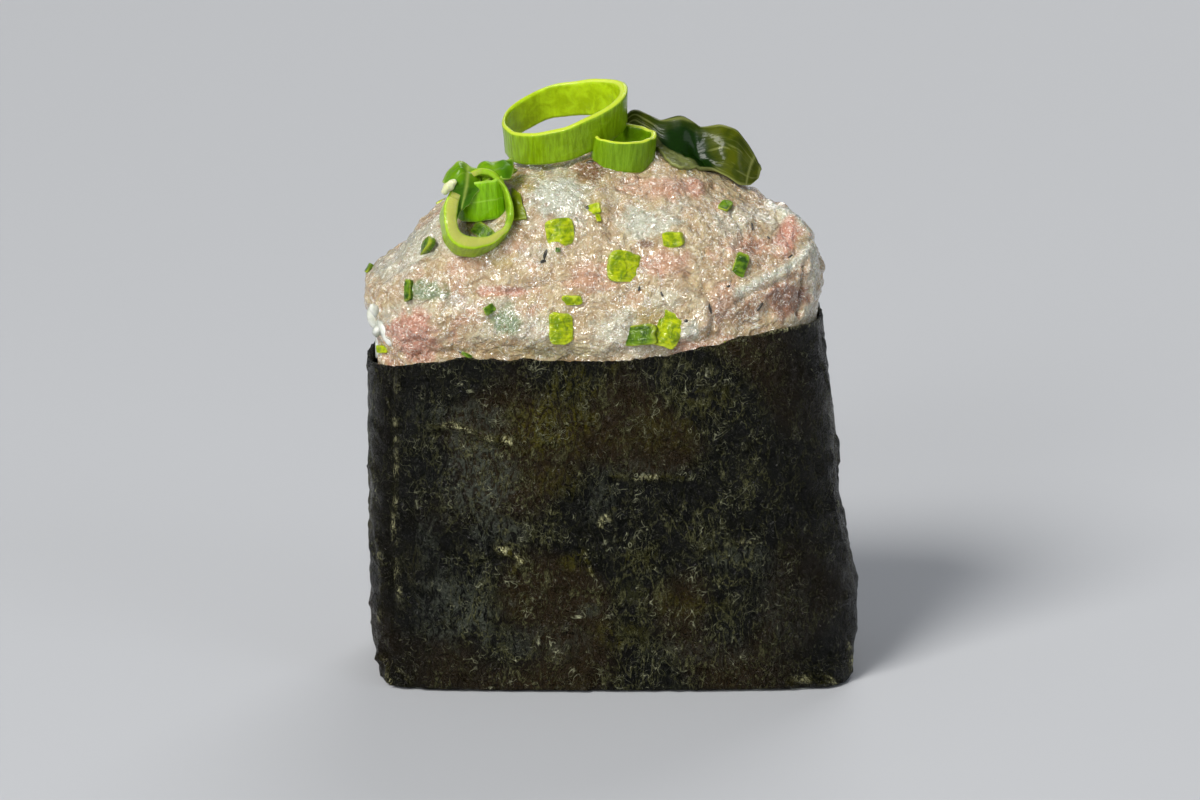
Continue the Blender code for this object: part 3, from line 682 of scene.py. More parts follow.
# Clouds of colour on the front of the band, in the photo's pixels:
# (across, down, half width, half height, strength)
NORI_PATCHES = {
    "grey": (
        (470, 420, 46, 20, 0.7), (478, 478, 36, 40, 0.9), (452, 606, 42, 36, 0.8),
        (425, 540, 12, 26, 0.7), (498, 530, 26, 18, 0.7), (600, 500, 18, 26, 0.45),
        (745, 560, 28, 16, 0.5), (790, 620, 34, 40, 0.4), (540, 640, 70, 18, 0.3),
        (700, 650, 60, 16, 0.25), (590, 610, 12, 6, 0.8), (640, 470, 60, 10, 0.3),
    ),
    "olive": (
        (548, 424, 46, 30, 0.7), (572, 388, 30, 20, 0.6), (560, 480, 30, 16, 0.35),
        (574, 562, 13, 11, 0.6), (616, 635, 28, 16, 0.4), (690, 605, 34, 12, 0.35),
        (660, 430, 46, 20, 0.3), (700, 400, 30, 20, 0.3), (412, 560, 8, 24, 0.4),
        (640, 560, 24, 14, 0.35),
    ),
}
# Ridges and creases on the front of the band:
# (pixels, half width in pixels, height in millimetres, strength of the painted highlight along it)
NORI_FOLDS = (
    (((432, 428), (452, 424), (470, 430), (488, 438), (512, 441)), 3.0, 0.45, 1.0),
    (((430, 436), (452, 433), (470, 440), (500, 448)), 4.0, -0.30, 0.0),
    (((613, 475), (640, 479), (662, 476), (686, 478)), 2.5, 0.30, 0.5),
    (((393, 352), (389, 400), (391, 470), (388, 530), (392, 600), (398, 650)), 2.6, -0.40, 0.0),
    (((399, 360), (395, 410), (397, 470), (394, 540), (399, 610)), 3.0, 0.22, 0.35),
    (((404, 500), (418, 530), (440, 552), (470, 566), (498, 560)), 3.0, -0.35, 0.0),
    (((497, 548), (510, 552), (523, 560), (514, 572)), 3.0, 0.35, 0.9),
    (((583, 551), (588, 562), (593, 575)), 2.0, 0.35, 0.8),
    (((599, 522), (614, 509)), 1.4, 0.20, 0.9),
    (((600, 526), (612, 517)), 1.4, 0.20, 0.8),
    (((500, 400), (520, 430), (530, 470)), 4.0, -0.25, 0.0),
    (((596, 440), (588, 470), (592, 505), (584, 540)), 4.0, -0.25, 0.0),
    (((700, 548), (730, 543), (760, 540)), 3.0, 0.22, 0.25),
    (((560, 592), (590, 596), (640, 600)), 4.0, -0.25, 0.0),
    (((787, 686), (800, 680), (818, 682), (838, 684)), 2.6, 0.45, 1.0),
    (((790, 680), (808, 675), (830, 677)), 2.4, -0.30, 0.6),
    (((846, 640), (850, 655), (849, 672)), 2.6, 0.25, 0.8),
    (((376, 652), (383, 660), (388, 670), (390, 684)), 2.2, 0.35, 0.9),
    (((384, 654), (396, 668), (404, 680), (416, 687)), 2.4, -0.45, 0.0),
    (((391, 662), (402, 674), (414, 684)), 2.0, 0.30, 0.45),
    (((372, 440), (374, 470), (371, 500)), 3.0, 0.25, 0.3),
    (((378, 540), (384, 580), (380, 620)), 3.0, 0.25, 0.3),
    (((755, 334), (780, 329), (808, 325)), 1.6, 0.15, 0.7),
    (((836, 470), (838, 500), (846, 530)), 3.0, -0.30, 0.0),
)
NORI_GRID = (420, 100)    # points round and up the band
NORI_SHEET = 0.22    # thickness of the dressed band
CRINKLE_OUT = 0.6    # how far its creases may stand out, and
CRINKLE_IN = 0.3    # how far they may sink in


def nori_crinkle(base, phi, z):
    """Depth of the band's creases: soft dents, slanting ridges, and waves where its foot flares."""
    crinkle = 0.30 * np.abs(noise_at(base, 3.6, 3.0)) + 0.16 * noise_at(base, 1.3, 5.0)
    leaning = stack(base[..., 0] + 0.4 * base[..., 2], base[..., 1], 0.5 * base[..., 2])
    for size, shift, height in ((4.2, 61.0, 0.22), (2.2, 71.0, 0.14)):
        ridge = smooth(1.0 - 9.0 * np.abs(noise_at(leaning, size, shift)))
        crinkle = crinkle - height * ridge * smooth(0.5 + 2.5 * noise_at(base, 5.0, shift + 5.0))
    for bearing, spread, height, _ in FLARES:
        turn = np.degrees(phi) % 360.0 - bearing
        near = np.exp(-(turn / (1.6 * spread)) ** 2) * smooth(1.3 - z / height)
        crinkle = crinkle + 0.45 * near * noise_at(base, 1.5, 7.0)
    return crinkle


def make_nori():
    """The band of nori, creased, with its lap and its uneven upper edge."""
    columns, rows = NORI_GRID
    u, v = np.meshgrid(np.linspace(0.0, 1.0, columns), np.linspace(0.0, 1.0, rows))
    phi = LAP_START - u * SWEEP
    around = stack(u * 160.0, 0.0, 0.0)
    jag = 0.30 * noise_at(around, 2.3) + 0.14 * noise_at(around, 0.7, 9.0)
    z = NORI_FOOT + v * (rim_height(phi) + jag * smooth(v * 5.0 - 4.0) - NORI_FOOT)
    sway = 0.22 * noise_at(stack(phi * 3.0, z / 11.0, SEED), 1.0)
    inset = wrap_inset(u) + np.maximum(sway, -0.1) * np.minimum(u, 1.0 - u) * 2.0
    base = band_point(phi, z, inset)
    x = base[..., 0]
    seen = in_photo(base)
    front = smooth((-6.0 - base[..., 1]) / 3.0) * (u > 1.0 - FULL_TURN)
    behind = 1.0 - front
    wobble = 1.0 + 0.5 * noise_at(base, 2.4, 11.0) + 0.4 * noise_at(base, 1.0, 12.0)
    amounts = {
        "grey": behind * 0.7 * smooth(3.0 * noise_at(base, 8.0, 41.0) - 0.2),
        "olive": behind * 0.6 * smooth(3.0 * noise_at(base, 9.0, 51.0) - 0.4),
        "painted_glint": np.zeros_like(u),
        # painted shade, growing towards both ends of the front
        "painted_shade": 0.65 * smooth((np.abs(x + 1.0) - 13.0) / 8.0) * front,
        "brown": smooth(2.5 * noise_at(base, 9.0, 81.0)) + 0.4 * smooth((-21.0 - x) / 3.0) * front,
    }
    add_patches(amounts, NORI_PATCHES, seen, wobble, front, 1.7, 1.3)
    crinkle = nori_crinkle(base, phi, z)
    for line, half, height, painted_highlight_strength in NORI_FOLDS:
        near = np.exp(-(off_line(seen, line) / (half * wobble)) ** 2) * front
        crinkle = crinkle - height * near
        # ridges get a painted highlight: olive colour and broken bright glints
        amounts["olive"] = np.maximum(amounts["olive"], painted_highlight_strength * near * 0.9)
        broken = smooth(0.3 + 2.5 * noise_at(base, 1.1, 15.0 + half))
        amounts["painted_glint"] = np.maximum(amounts["painted_glint"], painted_highlight_strength * near ** 3 * broken)
    points = band_point(phi, z, inset + np.clip(crinkle, -CRINKLE_OUT, CRINKLE_IN))
    piece = make_object("nori_wrap_dressed", points, grid_faces(rows, columns), nori_material(), amounts)
    thicken(piece, NORI_SHEET)
    return finish_piece(piece, ["nori_wrap"])


# Tuna

# Patches of colour on the front, in the photo's pixels: (across, down, half width, half height, strength)
TUNA_PATCHES = {
    "fat": (
        (557, 197, 27, 22, 1.0), (643, 223, 24, 14, 1.0), (618, 330, 22, 18, 0.7),
        (418, 242, 24, 16, 0.8), (792, 215, 14, 8, 1.0), (690, 332, 9, 12, 0.9), (388, 268, 18, 14, 0.7),
        (460, 302, 14, 9, 0.5), (812, 285, 6, 28, 0.7), (735, 222, 18, 14, 0.5), (540, 255, 20, 10, 0.4),
        (665, 300, 18, 12, 0.5), (600, 350, 60, 8, 0.4), (404, 262, 18, 16, 0.7),
    ),
    "pink": (
        (414, 336, 24, 26, 0.9), (787, 236, 11, 16, 1.0), (660, 187, 46, 11, 0.6), (697, 189, 9, 8, 0.8),
        (589, 278, 24, 15, 0.5), (664, 262, 22, 14, 0.6), (505, 291, 28, 5, 0.8), (722, 296, 12, 20, 0.4),
        (787, 299, 19, 17, 0.7), (470, 266, 24, 9, 0.4), (690, 350, 20, 9, 0.6), (755, 246, 20, 9, 0.5),
    ),
    "brown": (
        # the patches at (736, 309) and (788, 300) paint shade in the groove and recess below the pale strip,
        # the rest are brown flesh
        (592, 170, 15, 13, 0.9), (736, 309, 25, 15, 0.55), (646, 244, 9, 4, 0.8), (752, 247, 8, 5, 0.6),
        (788, 300, 17, 14, 0.75), (375, 330, 8, 16, 0.3),
    ),
    "green": (
        (426, 291, 18, 12, 0.8), (507, 323, 18, 13, 0.8), (588, 188, 6, 4, 0.3),
    ),
    "yellow": (
        (517, 178, 9, 6, 0.7), (525, 188, 10, 5, 0.7), (541, 174, 5, 5, 0.7), (596, 208, 11, 11, 0.5),
        (599, 220, 4, 4, 0.8), (474, 228, 11, 6, 1.0), (556, 350, 40, 9, 0.35), (651, 318, 14, 10, 0.5),
        (500, 262, 16, 9, 0.3), (688, 172, 12, 4, 0.5), (384, 348, 10, 5, 0.6),
    ),
}
# Lines of relief on the front: (pixels, half width in pixels, height in millimetres, fat there)
TUNA_FOLDS = (
    (((733, 295), (747, 288), (761, 280), (777, 273), (790, 267), (803, 256), (809, 249)), 6.0, 0.12, 1.0),
    (((745, 276), (762, 268), (780, 262), (797, 252), (805, 243)), 3.0, -0.28, 0.0),
    (((737, 303), (752, 294), (768, 288), (785, 280), (797, 275)), 3.0, -0.40, 0.0),
    (((805, 266), (803, 280), (802, 300), (799, 314)), 2.0, -0.70, 0.0),
    (((812, 252), (814, 270), (812, 290), (806, 308)), 5.0, 0.10, 0.8),
    (((688, 278), (702, 286), (710, 300), (713, 318), (709, 340)), 2.4, -0.50, 0.0),
    (((676, 286), (693, 293), (702, 306), (704, 324)), 7.0, 0.35, 0.2),
    (((714, 186), (724, 190), (732, 200), (733, 214), (741, 228), (745, 240)), 2.0, -0.40, 0.0),
    (((768, 204), (781, 212), (797, 222), (808, 236)), 3.5, 0.45, 1.0),
    (((777, 214), (783, 226), (790, 246), (797, 250)), 2.5, -0.50, 0.0),
    (((746, 246), (760, 246), (776, 240)), 2.5, -0.35, 0.0),
    (((440, 222), (420, 240), (402, 258), (384, 272)), 5.0, 0.40, 0.8),
    (((447, 232), (428, 250), (410, 262)), 2.5, -0.40, 0.0),
    (((489, 290), (505, 293), (520, 290), (545, 286)), 2.5, -0.35, 0.0),
    (((562, 282), (590, 276), (612, 282)), 3.0, -0.30, 0.0),
    (((650, 262), (672, 268), (690, 280)), 3.0, -0.35, 0.0),
    (((640, 238), (655, 246), (672, 243)), 2.5, -0.30, 0.0),
    (((396, 318), (410, 312), (428, 322), (436, 345)), 3.0, -0.35, 0.0),
)
TUNA_GRID = (200, 110)    # points round and up the heap, before its mesh is made even
TUNA_VOXEL = 0.245    # the even mesh's spacing
LUMPS = ((0.30, 2.6, 2.0), (0.26, 1.2, 4.0), (0.16, 0.62, 6.0))    # height, size and seed of the minced lumps
LUMP_REACH = 0.8    # how far lumps and folds may stand out or sink in


def mesh_places(mesh):
    """A mesh's points in millimetres, and its normals."""
    points = np.empty(len(mesh.vertices) * 3)
    mesh.vertices.foreach_get("co", points)
    normals = np.empty(len(mesh.vertices) * 3)
    mesh.vertex_normals.foreach_get("vector", normals)
    return points.reshape(-1, 3) / MM + np.array(MIDDLE), normals.reshape(-1, 3)


def even_mesh(piece):
    """The piece's mesh made again from small even squares."""
    remesh = piece.modifiers.new("even_mesh", "REMESH")
    remesh.mode = "VOXEL"
    remesh.voxel_size = TUNA_VOXEL * MM
    graph = bpy.context.evaluated_depsgraph_get()
    even = bpy.data.meshes.new_from_object(piece.evaluated_get(graph))
    piece.modifiers.clear()
    piece.data = even
    return even


def make_tuna():
    """The heap of minced tuna as one fine mesh with lumps, folds and patches of colour."""
    columns, rows = TUNA_GRID
    bearings = np.linspace(-math.pi, math.pi, columns, endpoint=False)
    phi, level = np.meshgrid(bearings, np.linspace(-0.999, 0.999, rows))
    faces = grid_faces(rows, columns, wrap_columns=True).tolist()
    faces.append(list(range(columns))[::-1])
    faces.append([(rows - 1) * columns + i for i in range(columns)])
    piece = make_object("tuna_dressed", mound_point(phi, level), faces, tuna_material())
    even = even_mesh(piece)
    points, normals = mesh_places(even)
    front = smooth((3.0 - points[:, 1]) / 4.0)
    seen = in_photo(points)
    rim = rim_height(np.arctan2(points[:, 1], points[:, 0]))
    above_rim = smooth((points[:, 2] - rim + 0.6) / 1.6)
    lumps = sum(height * noise_at(points, size, seed) for height, size, seed in LUMPS)
    fat = 0.55 * smooth(3.0 * noise_at(points, 4.5, 21.0) - 0.2)
    fray = 1.0 + 0.6 * noise_at(points, 1.4, 14.0) + 0.4 * noise_at(points, 0.7, 15.0)
    for line, half, height, pale in TUNA_FOLDS:
        near = np.exp(-(off_line(seen, line) / (half * fray)) ** 2) * front
        lumps = lumps + height * near
        fat = np.maximum(fat, pale * near)
    lumps = np.clip(lumps, -LUMP_REACH, LUMP_REACH) * above_rim
    wobble = 1.0 + 0.5 * noise_at(points, 1.6, 11.0) + 0.3 * noise_at(points, 0.7, 12.0)
    none = np.zeros(len(points))
    pink = 0.5 * smooth(3.0 * noise_at(points, 5.0, 31.0) - 0.5) * (1.0 - front)
    amounts = {"fat": fat, "pink": pink, "brown": none, "green": none, "yellow": none}
    add_patches(amounts, TUNA_PATCHES, seen, wobble, front, 1.9, 1.4)
    for kind in ("pink", "brown", "green"):
        amounts["fat"] = amounts["fat"] * (1.0 - 0.8 * amounts[kind])
    points = points + normals * lumps[:, None]
    even.vertices.foreach_set("co", ((points - np.array(MIDDLE)) * MM).ravel())
    even.update()
    even.shade_smooth()
    store(even, amounts)
    return finish_piece(piece, ["tuna"])


def tree_of(piece):
    """What lies under the toppings, to rest them on."""
    mesh = piece.evaluated_get(bpy.context.evaluated_depsgraph_get()).to_mesh()
    faces = [list(polygon.vertices) for polygon in mesh.polygons]
    return BVHTree.FromPolygons([vertex.co.copy() for vertex in mesh.vertices], faces)


def meet(tree, origin, direction):
    """Where a line first meets the tree, and the way that it faces there, in millimetres."""
    middle = Vector(MIDDLE)
    at, normal, _, _ = tree.ray_cast((Vector(origin) - middle) * MM, Vector(direction))
    return (at / MM + middle, normal) if at else (None, None)


# Chips

# A chip's section, from the middle of its face over its edge and under it:
# (share of half width, share of depth)
CHIP_SECTION = (
    (0.05, 1.0), (0.3, 1.0), (0.55, 1.0), (0.78, 1.0), (0.92, 0.99), (0.985, 0.93), (1.0, 0.82),
    (0.98, 0.4), (0.95, 0.0), (0.5, 0.0), (0.05, 0.0),
)
CHIP_ROUND = 56    # points round a chip
CHIP_CREASE = 35.0    # degrees from which a chip's edge is crisp
FRONT_START = -60.0    # chips and specks are dropped on from this far in front, or as far behind


def chip_mesh(at, facing, wide, high, turn, kind, draw):
    """A small cut bit of scallion: a slightly curved tile with crisp, uneven edges."""
    angle = np.linspace(0.0, 2.0 * math.pi, CHIP_ROUND, endpoint=False)[None, :]
    share, depth = (np.array(part)[:, None] for part in zip(*CHIP_SECTION))
    thick = min(CHIP_THICK, 0.5 * min(wide, high))
    square = draw.uniform(3.5, 7.0)
    reach = (np.abs(np.cos(angle)) ** square + np.abs(np.sin(angle)) ** square) ** (-1.0 / square)
    seed = draw.uniform(0.0, 50.0)
    uneven = 1.0
    for amount, often in ((0.15, 1.3), (0.03, 3.0)):
        uneven = uneven + amount * noise_at(stack(np.cos(angle) * often, np.sin(angle) * often, seed), 1.0)
    x = np.cos(angle) * reach * uneven * share * wide / 2
    y = np.sin(angle) * reach * uneven * share * high / 2
    bend = 0.10 * x ** 2 + 0.08 * noise_at(stack(x, y, seed), 1.0)
    points = stack(x, y, depth * thick - bend)
    faces = grid_faces(len(CHIP_SECTION), CHIP_ROUND, wrap_columns=True).tolist()
    faces.append(list(range(CHIP_ROUND)))
    faces.append([(len(CHIP_SECTION) - 1) * CHIP_ROUND + k for k in range(CHIP_ROUND)][::-1])
    patchy = 0.6 + 0.8 * noise_at(stack(x, y, seed + 9.0), 1.2)
    rim = smooth((share - 0.86) / 0.08) * (depth > 0.5) * patchy
    placed = points.reshape(-1, 3) @ laid_on(facing, turn).T + np.array(at + facing * (CHIP_PROUD - thick))
    amounts = {"rim": np.clip(rim, 0.0, 1.0), "green": 0.0 * rim + (kind == "green"),
               "across": y, "level": 0.0 * rim}
    return placed, faces, amounts


def laid_on(facing, turn):
    """The turn that lays a flat thing on a face, spun round by degrees."""
    return np.array(facing.to_track_quat("Z", "Y").to_matrix() @ Matrix.Rotation(math.radians(turn), 3, "Z"))


def make_chips(tree):
    """The chips of scallion in the tuna's face: the larger ones, those of the back, and the small bits."""
    draw = random.Random(SEED + 1)
    spots = [((x, FRONT_START, z), (0.0, 1.0, 0.0), *shape) for x, z, *shape in CHIPS]
    for index in range(BACK_CHIPS):
        x = -20.0 + 38.0 * index / (BACK_CHIPS - 1) + draw.uniform(-1.6, 1.6)
        z = draw.uniform(38.5, 50.0) - 0.004 * x * x
        spots.append(((x, -FRONT_START, z), (0.0, -1.0, 0.0), draw.uniform(1.0, 3.8), draw.uniform(0.8, 3.2),
                      draw.uniform(-40.0, 40.0), "lime" if index % 3 else "green"))
    spots += [(CAMERA_AT, sight_line(chip[:2]), *chip[2:]) for chip in SMALL_CHIPS]
    parts = []
    for origin, direction, *shape in spots:
        at, facing = meet(tree, origin, direction)
        if at:
            parts.append(chip_mesh(at, facing, *shape, draw))
    points, faces, values = join_meshes(parts)
    piece = make_object("scallion_chips", points, faces, chip_material(), values, CHIP_CREASE)
    return finish_piece(piece, ["tuna"])


# Dark specks on the tuna: (pixel across, pixel down, length in millimetres, width, turn in degrees)
SPECKS = (
    (589, 207, 0.8, 0.5, 20), (545, 256, 1.5, 0.3, 75), (543, 262, 0.7, 0.35, 10),
    (752, 227, 0.9, 0.25, 80), (710, 309, 1.2, 0.25, 100), (760, 307, 1.1, 0.35, 50),
    (639, 289, 0.6, 0.25, 70), (662, 294, 0.6, 0.25, 120), (728, 286, 0.5, 0.25, 20),
    (686, 321, 0.4, 0.3, 0), (643, 340, 0.6, 0.25, 80), (464, 354, 1.3, 0.35, -25),
    (790, 256, 0.6, 0.2, 30), (768, 238, 0.4, 0.2, 100), (590, 162, 0.9, 0.4, 30),
    (655, 330, 0.4, 0.2, 30),
)
BACK_SPECKS = 14


def make_specks(tree):
    """Flecks of nori and pepper that stick to the tuna."""
    draw = random.Random(SEED + 2)
    spots = [(CAMERA_AT, sight_line(speck[:2]), *speck[2:]) for speck in SPECKS]
    for _ in range(BACK_SPECKS):
        start = (draw.uniform(-20.0, 18.0), -FRONT_START, draw.uniform(39.0, 52.0))
        spots.append((start, (0.0, -1.0, 0.0), draw.uniform(0.4, 1.2), 0.3, draw.uniform(0.0, 180.0)))
    parts = []
    for origin, direction, long, wide, turn in spots:
        at, facing = meet(tree, origin, direction)
        if at:
            grain, faces, _ = grain_mesh((0.0, 0.0, 0.0), Euler(), 1.0, draw, 8, 7)
            points = grain[:, [2, 0, 1]] * np.array((long / GRAIN_LONG, wide / GRAIN_THICK, 0.1))
            points += 0.05 * noise_at(points, 0.4, draw.uniform(0.0, 30.0))[:, None]
            parts.append((points @ laid_on(facing, turn).T + np.array(at + facing * 0.05), faces, {}))
    points, faces, _ = join_meshes(parts)
    piece = make_object("specks", points, faces, speck_material())
    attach(piece, "root")


# Rings

RING_EDGE = 0.05    # share of a ring's height over which its edges are rounded
RING_UP = 14    # points up each side of a ring's wall
RING_OVER = 6    # points over each cut edge
RING_ROUND = 160    # points round a ring
RING_ROUGH = 0.10    # how far its faces wander

# Rings in millimetres and degrees; slant is extra height at the right, shear is the rise to the right,
# and heavy is the bearing of the thick side
RING_LARGE = {"half_long": 6.25, "half_short": 5.0, "height": 3.9, "wall": 0.66, "taper": 0.03,
              "slant": 0.30, "shear": 0.24, "heavy": -45.0, "uneven": 0.3, "seed": 1.0}
RING_SMALL = {"half_long": 3.1, "half_short": 3.0, "height": 3.4, "wall": 0.55, "taper": 0.05,
              "slant": 0.2, "shear": 0.0, "heavy": 90.0, "uneven": 0.1, "seed": 5.0}
RING_LEFT = {"half_long": 3.1, "half_short": 3.9, "height": 3.0, "wall": 0.9, "taper": 0.0,
             "slant": 0.0, "shear": 0.0, "heavy": 232.0, "uneven": 0.55, "seed": 9.0}
TUBE_INNER = {"half_long": 2.3, "half_short": 1.3, "height": 4.3, "wall": 0.45, "taper": 0.0,
              "slant": 0.0, "shear": 0.0, "heavy": 0.0, "uneven": 0.1, "seed": 13.0}
TUBE_LINE = 2.2    # height of the pale line round the inner tube


def ring_section():
    """A ring's wall as (share out, share up) places, up its outside, over its top, down and under."""
    heights = np.linspace(RING_EDGE, 1.0 - RING_EDGE, RING_UP)
    shares = np.linspace(0.1, 0.9, RING_OVER)
    swell = RING_EDGE * np.sin(math.pi * shares)
    side = np.concatenate((np.ones(RING_UP), 1.0 - shares, np.zeros(RING_UP), shares))
    level = np.concatenate((heights, 1.0 - RING_EDGE + swell, heights[::-1], RING_EDGE - swell))
    return side[:, None], level[:, None]


def ring_mesh(half_long, half_short, height, wall, taper, slant, shear, heavy, uneven, seed):
    """A cut slice of scallion round its own Z axis, with rounded rims, as a closed tube."""
    side, level = ring_section()
    turn = np.linspace(-math.pi, math.pi, RING_ROUND, endpoint=False)[None, :]
    round_it = stack(np.cos(turn), np.sin(turn), level * 0.3)
    swell = 1.0 + taper * (level - 0.5) + 0.05 * noise_at(round_it, 0.9, seed)
    heft = 1.0 + uneven * np.cos(turn - math.radians(heavy))
    wall_here = wall * (heft + 0.3 * noise_at(round_it, 0.5, seed + 2.0))
    wave = 1.6 * RING_ROUGH
    cut_wave = wave * noise_at(stack(np.cos(turn), np.sin(turn), 0.0), 0.45, seed + 4.0)
    foot_wave = wave * noise_at(stack(np.cos(turn), np.sin(turn), 5.0), 0.5, seed + 6.0)
    out = (side - 0.5) * wall_here + RING_ROUGH * noise_at(round_it, 0.35, seed + 3.0)
    x = (half_long * swell + out) * np.cos(turn)
    y = (half_short * swell * (1.0 - 0.12 * np.cos(turn)) + out) * np.sin(turn)
    top = shear * x + cut_wave
    foot = top - height - slant * np.cos(turn) + foot_wave
    points = stack(x, y, foot + level * (top - foot))
    cut = smooth((np.abs(level - 0.5) - 0.5 + RING_EDGE) / 0.02)
    values = {"outer": side, "cut": cut, "level": level * height, "turn": turn * half_long,
              "thin": smooth((0.95 - heft) / 0.3)}
    values = {label: np.broadcast_to(own, points.shape[:2]) for label, own in values.items()}
    return points, grid_faces(*points.shape[:2], True, True), values


def set_ring(name, spec, at, tilt, roll, material, node, slot_name):
    """Places a ring with its top rim's centre at a point, tilted to the viewer and rolled."""
    points, faces, values = ring_mesh(**spec)
    lean = Matrix.Rotation(-math.radians(roll), 3, "Y") @ Matrix.Rotation(math.radians(tilt), 3, "X")
    placed = points.reshape(-1, 3) @ np.array(lean).T + np.array(at)
    return finish_piece(make_object(name, placed, faces, material, values), [node])


def make_rings():
    lime = scallion_material("scallion_lime", (0.19, 0.32, 0.001), (0.50, 0.60, 0.07), (0.35, 0.50, 0.003),
                             (0.46, 0.56, 0.04), 0.3)
    green = scallion_material("scallion_green", (0.14, 0.26, 0.001), (0.46, 0.56, 0.05), (0.11, 0.23, 0.001),
                              (0.48, 0.58, 0.04), 0.3)
    pale = scallion_material("scallion_pale", (0.26, 0.42, 0.004), (0.38, 0.40, 0.08), (0.22, 0.38, 0.01),
                             (0.32, 0.48, 0.01), 0.76)
    tube = scallion_material("scallion_tube", (0.19, 0.41, 0.002), (0.26, 0.46, 0.03), (0.10, 0.25, 0.001),
                             (0.30, 0.50, 0.05), 0.3, TUBE_LINE)
    rings = (
        ("ring_large", RING_LARGE, (-5.0, -1.0, 59.6), 20.0, 3.0, lime, "scallion_ring_large", "scallion"),
        ("ring_small", RING_SMALL, (1.35, -3.0, 57.0), 11.0, -3.0, green, "scallion_ring_small", "scallion"),
        ("ring_left", RING_LEFT, (-13.15, -11.2, 50.35), 60.0, -20.0, pale, "scallion_ring_left",
         "scallion_pale"),
        ("tube_inner", TUBE_INNER, (-13.5, -8.6, 53.1), 10.0, 4.0, tube, "scallion_tube_inner", "scallion"),
    )
    for ring in rings:
        set_ring(*ring)


# Leaves

# The right leaf, from its left end to its right end: where its front edge lies, its top line,
# and its back edge
LEAF_FRONT = (
    (1.6, 0.4, 56.2), (3.2, 0.4, 55.7), (4.9, -1.6, 54.8), (6.0, -4.0, 53.8), (7.4, -4.4, 53.2),
    (9.3, -2.6, 53.1), (10.6, -1.4, 52.9), (12.2, -1.6, 52.2), (13.3, -1.7, 51.3),
    (14.4, -1.0, 51.2), (15.3, -0.2, 51.9),
)
LEAF_TOP = (
    (1.2, 1.6, 57.5), (2.3, 1.8, 58.8), (3.7, 1.5, 58.3), (5.2, 0.9, 57.6), (7.3, 0.8, 58.3),
    (8.5, 0.6, 57.6), (9.3, 0.6, 56.9), (11.5, 0.6, 57.4), (13.2, 0.4, 56.8), (14.8, 0.2, 54.4),
    (15.6, 0.0, 52.6),
)
LEAF_BACK = (
    (1.8, 4.0, 56.4), (3.0, 4.6, 56.0), (4.2, 5.0, 55.6), (5.5, 5.2, 55.2), (7.0, 5.3, 54.8),
    (8.4, 5.2, 54.4), (9.6, 5.0, 54.0), (11.2, 4.6, 53.5), (12.6, 3.8, 53.0), (14.0, 2.6, 52.4),
    (15.4, 0.9, 52.0),
)
LEAF_POOL = (0.0, 0.0, 0.3, 1.0, 1.5, 1.6, 0.3, -0.7, -0.8, -0.4, 0.0)    # how far its face is hollow
LEAF_THICK = 0.40

# The curled leaf at the top left of the left ring, from its top edge down into the ring, as rows of
# (pixel across, pixel down, depth in millimetres)
TORN_ROWS = (
    ((444, 182, -8.2), (448, 172, -8.0), (458, 162, -7.8), (467, 168, -7.6), (478, 174, -7.4)),
    ((446, 187, -10.0), (452, 177, -10.3), (460, 172, -10.3), (469, 175, -9.6), (480, 180, -8.8)),
    ((452, 194, -10.9), (457, 187, -11.0), (463, 183, -10.6), (471, 184, -10.1), (480, 187, -9.6)),
    ((454, 205, -10.7), (458, 200, -10.6), (463, 196, -10.4), (470, 195, -10.2), (476, 196, -10.1)),
    ((457, 219, -10.5), (459, 214, -10.5), (462, 208, -10.4), (465, 204, -10.3), (468, 204, -10.2)),
)
# The leaf between the left ring and the large one, in the same way
BACK_ROWS = (
    ((476, 174, -6.4), (480, 167, -6.2), (487, 162, -6.0),
     (496, 161, -5.9), (503, 159, -5.6), (512, 163, -5.0)),
    ((478, 177, -7.4), (482, 171, -7.4), (488, 167, -7.3),
     (496, 166, -7.2), (504, 165, -7.0), (513, 168, -6.4)),
    ((480, 181, -8.0), (484, 176, -8.2), (490, 174, -8.2),
     (497, 173, -8.2), (505, 172, -8.0), (512, 174, -7.4)),
    ((482, 186, -8.6), (486, 182, -8.7), (492, 181, -8.7),
     (498, 181, -8.7), (504, 180, -8.6), (510, 179, -8.0)),
)
BEAD = (449, 187, -11.1)    # the white lump on the left ring's upper left
BEAD_SIZE = (0.52, 0.45, 0.36)    # its size, as shares of a grain's
BEAD_WHITE = (0.60, 0.61, 0.36)
# The olive bit at the right of the left ring, as rows of the photo's pixels
TILE_PIXELS = (
    ((512, 191), (516, 191), (520, 193)),
    ((511, 206), (517, 206), (523, 206)),
    ((511, 221), (519, 222), (527, 220)),
)
TILE_LIFT = (0.0, -0.15, 0.1)    # how far that bit stands off the tuna
LEAF_CRUMPLE = (0.2, 0.5, 1.0)    # the way that a leaf's crumples push it


def spread(rows, count):
    """Rows of points taken evenly between rows of points."""
    places = np.linspace(0.0, len(rows) - 1.0, count)
    before = np.minimum(places.astype(int), len(rows) - 2)
    share = (places - before)[:, None, None]
    return rows[before] + share * (rows[before + 1] - rows[before])


def lofted(rows, columns, lines, rounds):
    """A grid of points through rows of control points, with its corners rounded."""
    points = spread(np.array(rows, float), lines)
    points = spread(points.swapaxes(0, 1), columns).swapaxes(0, 1).copy()
    for _ in range(rounds):
        points[1:-1] = (points[:-2] + 2.0 * points[1:-1] + points[2:]) / 4.0
        points[:, 1:-1] = (points[:, :-2] + 2.0 * points[:, 1:-1] + points[:, 2:]) / 4.0
    return points


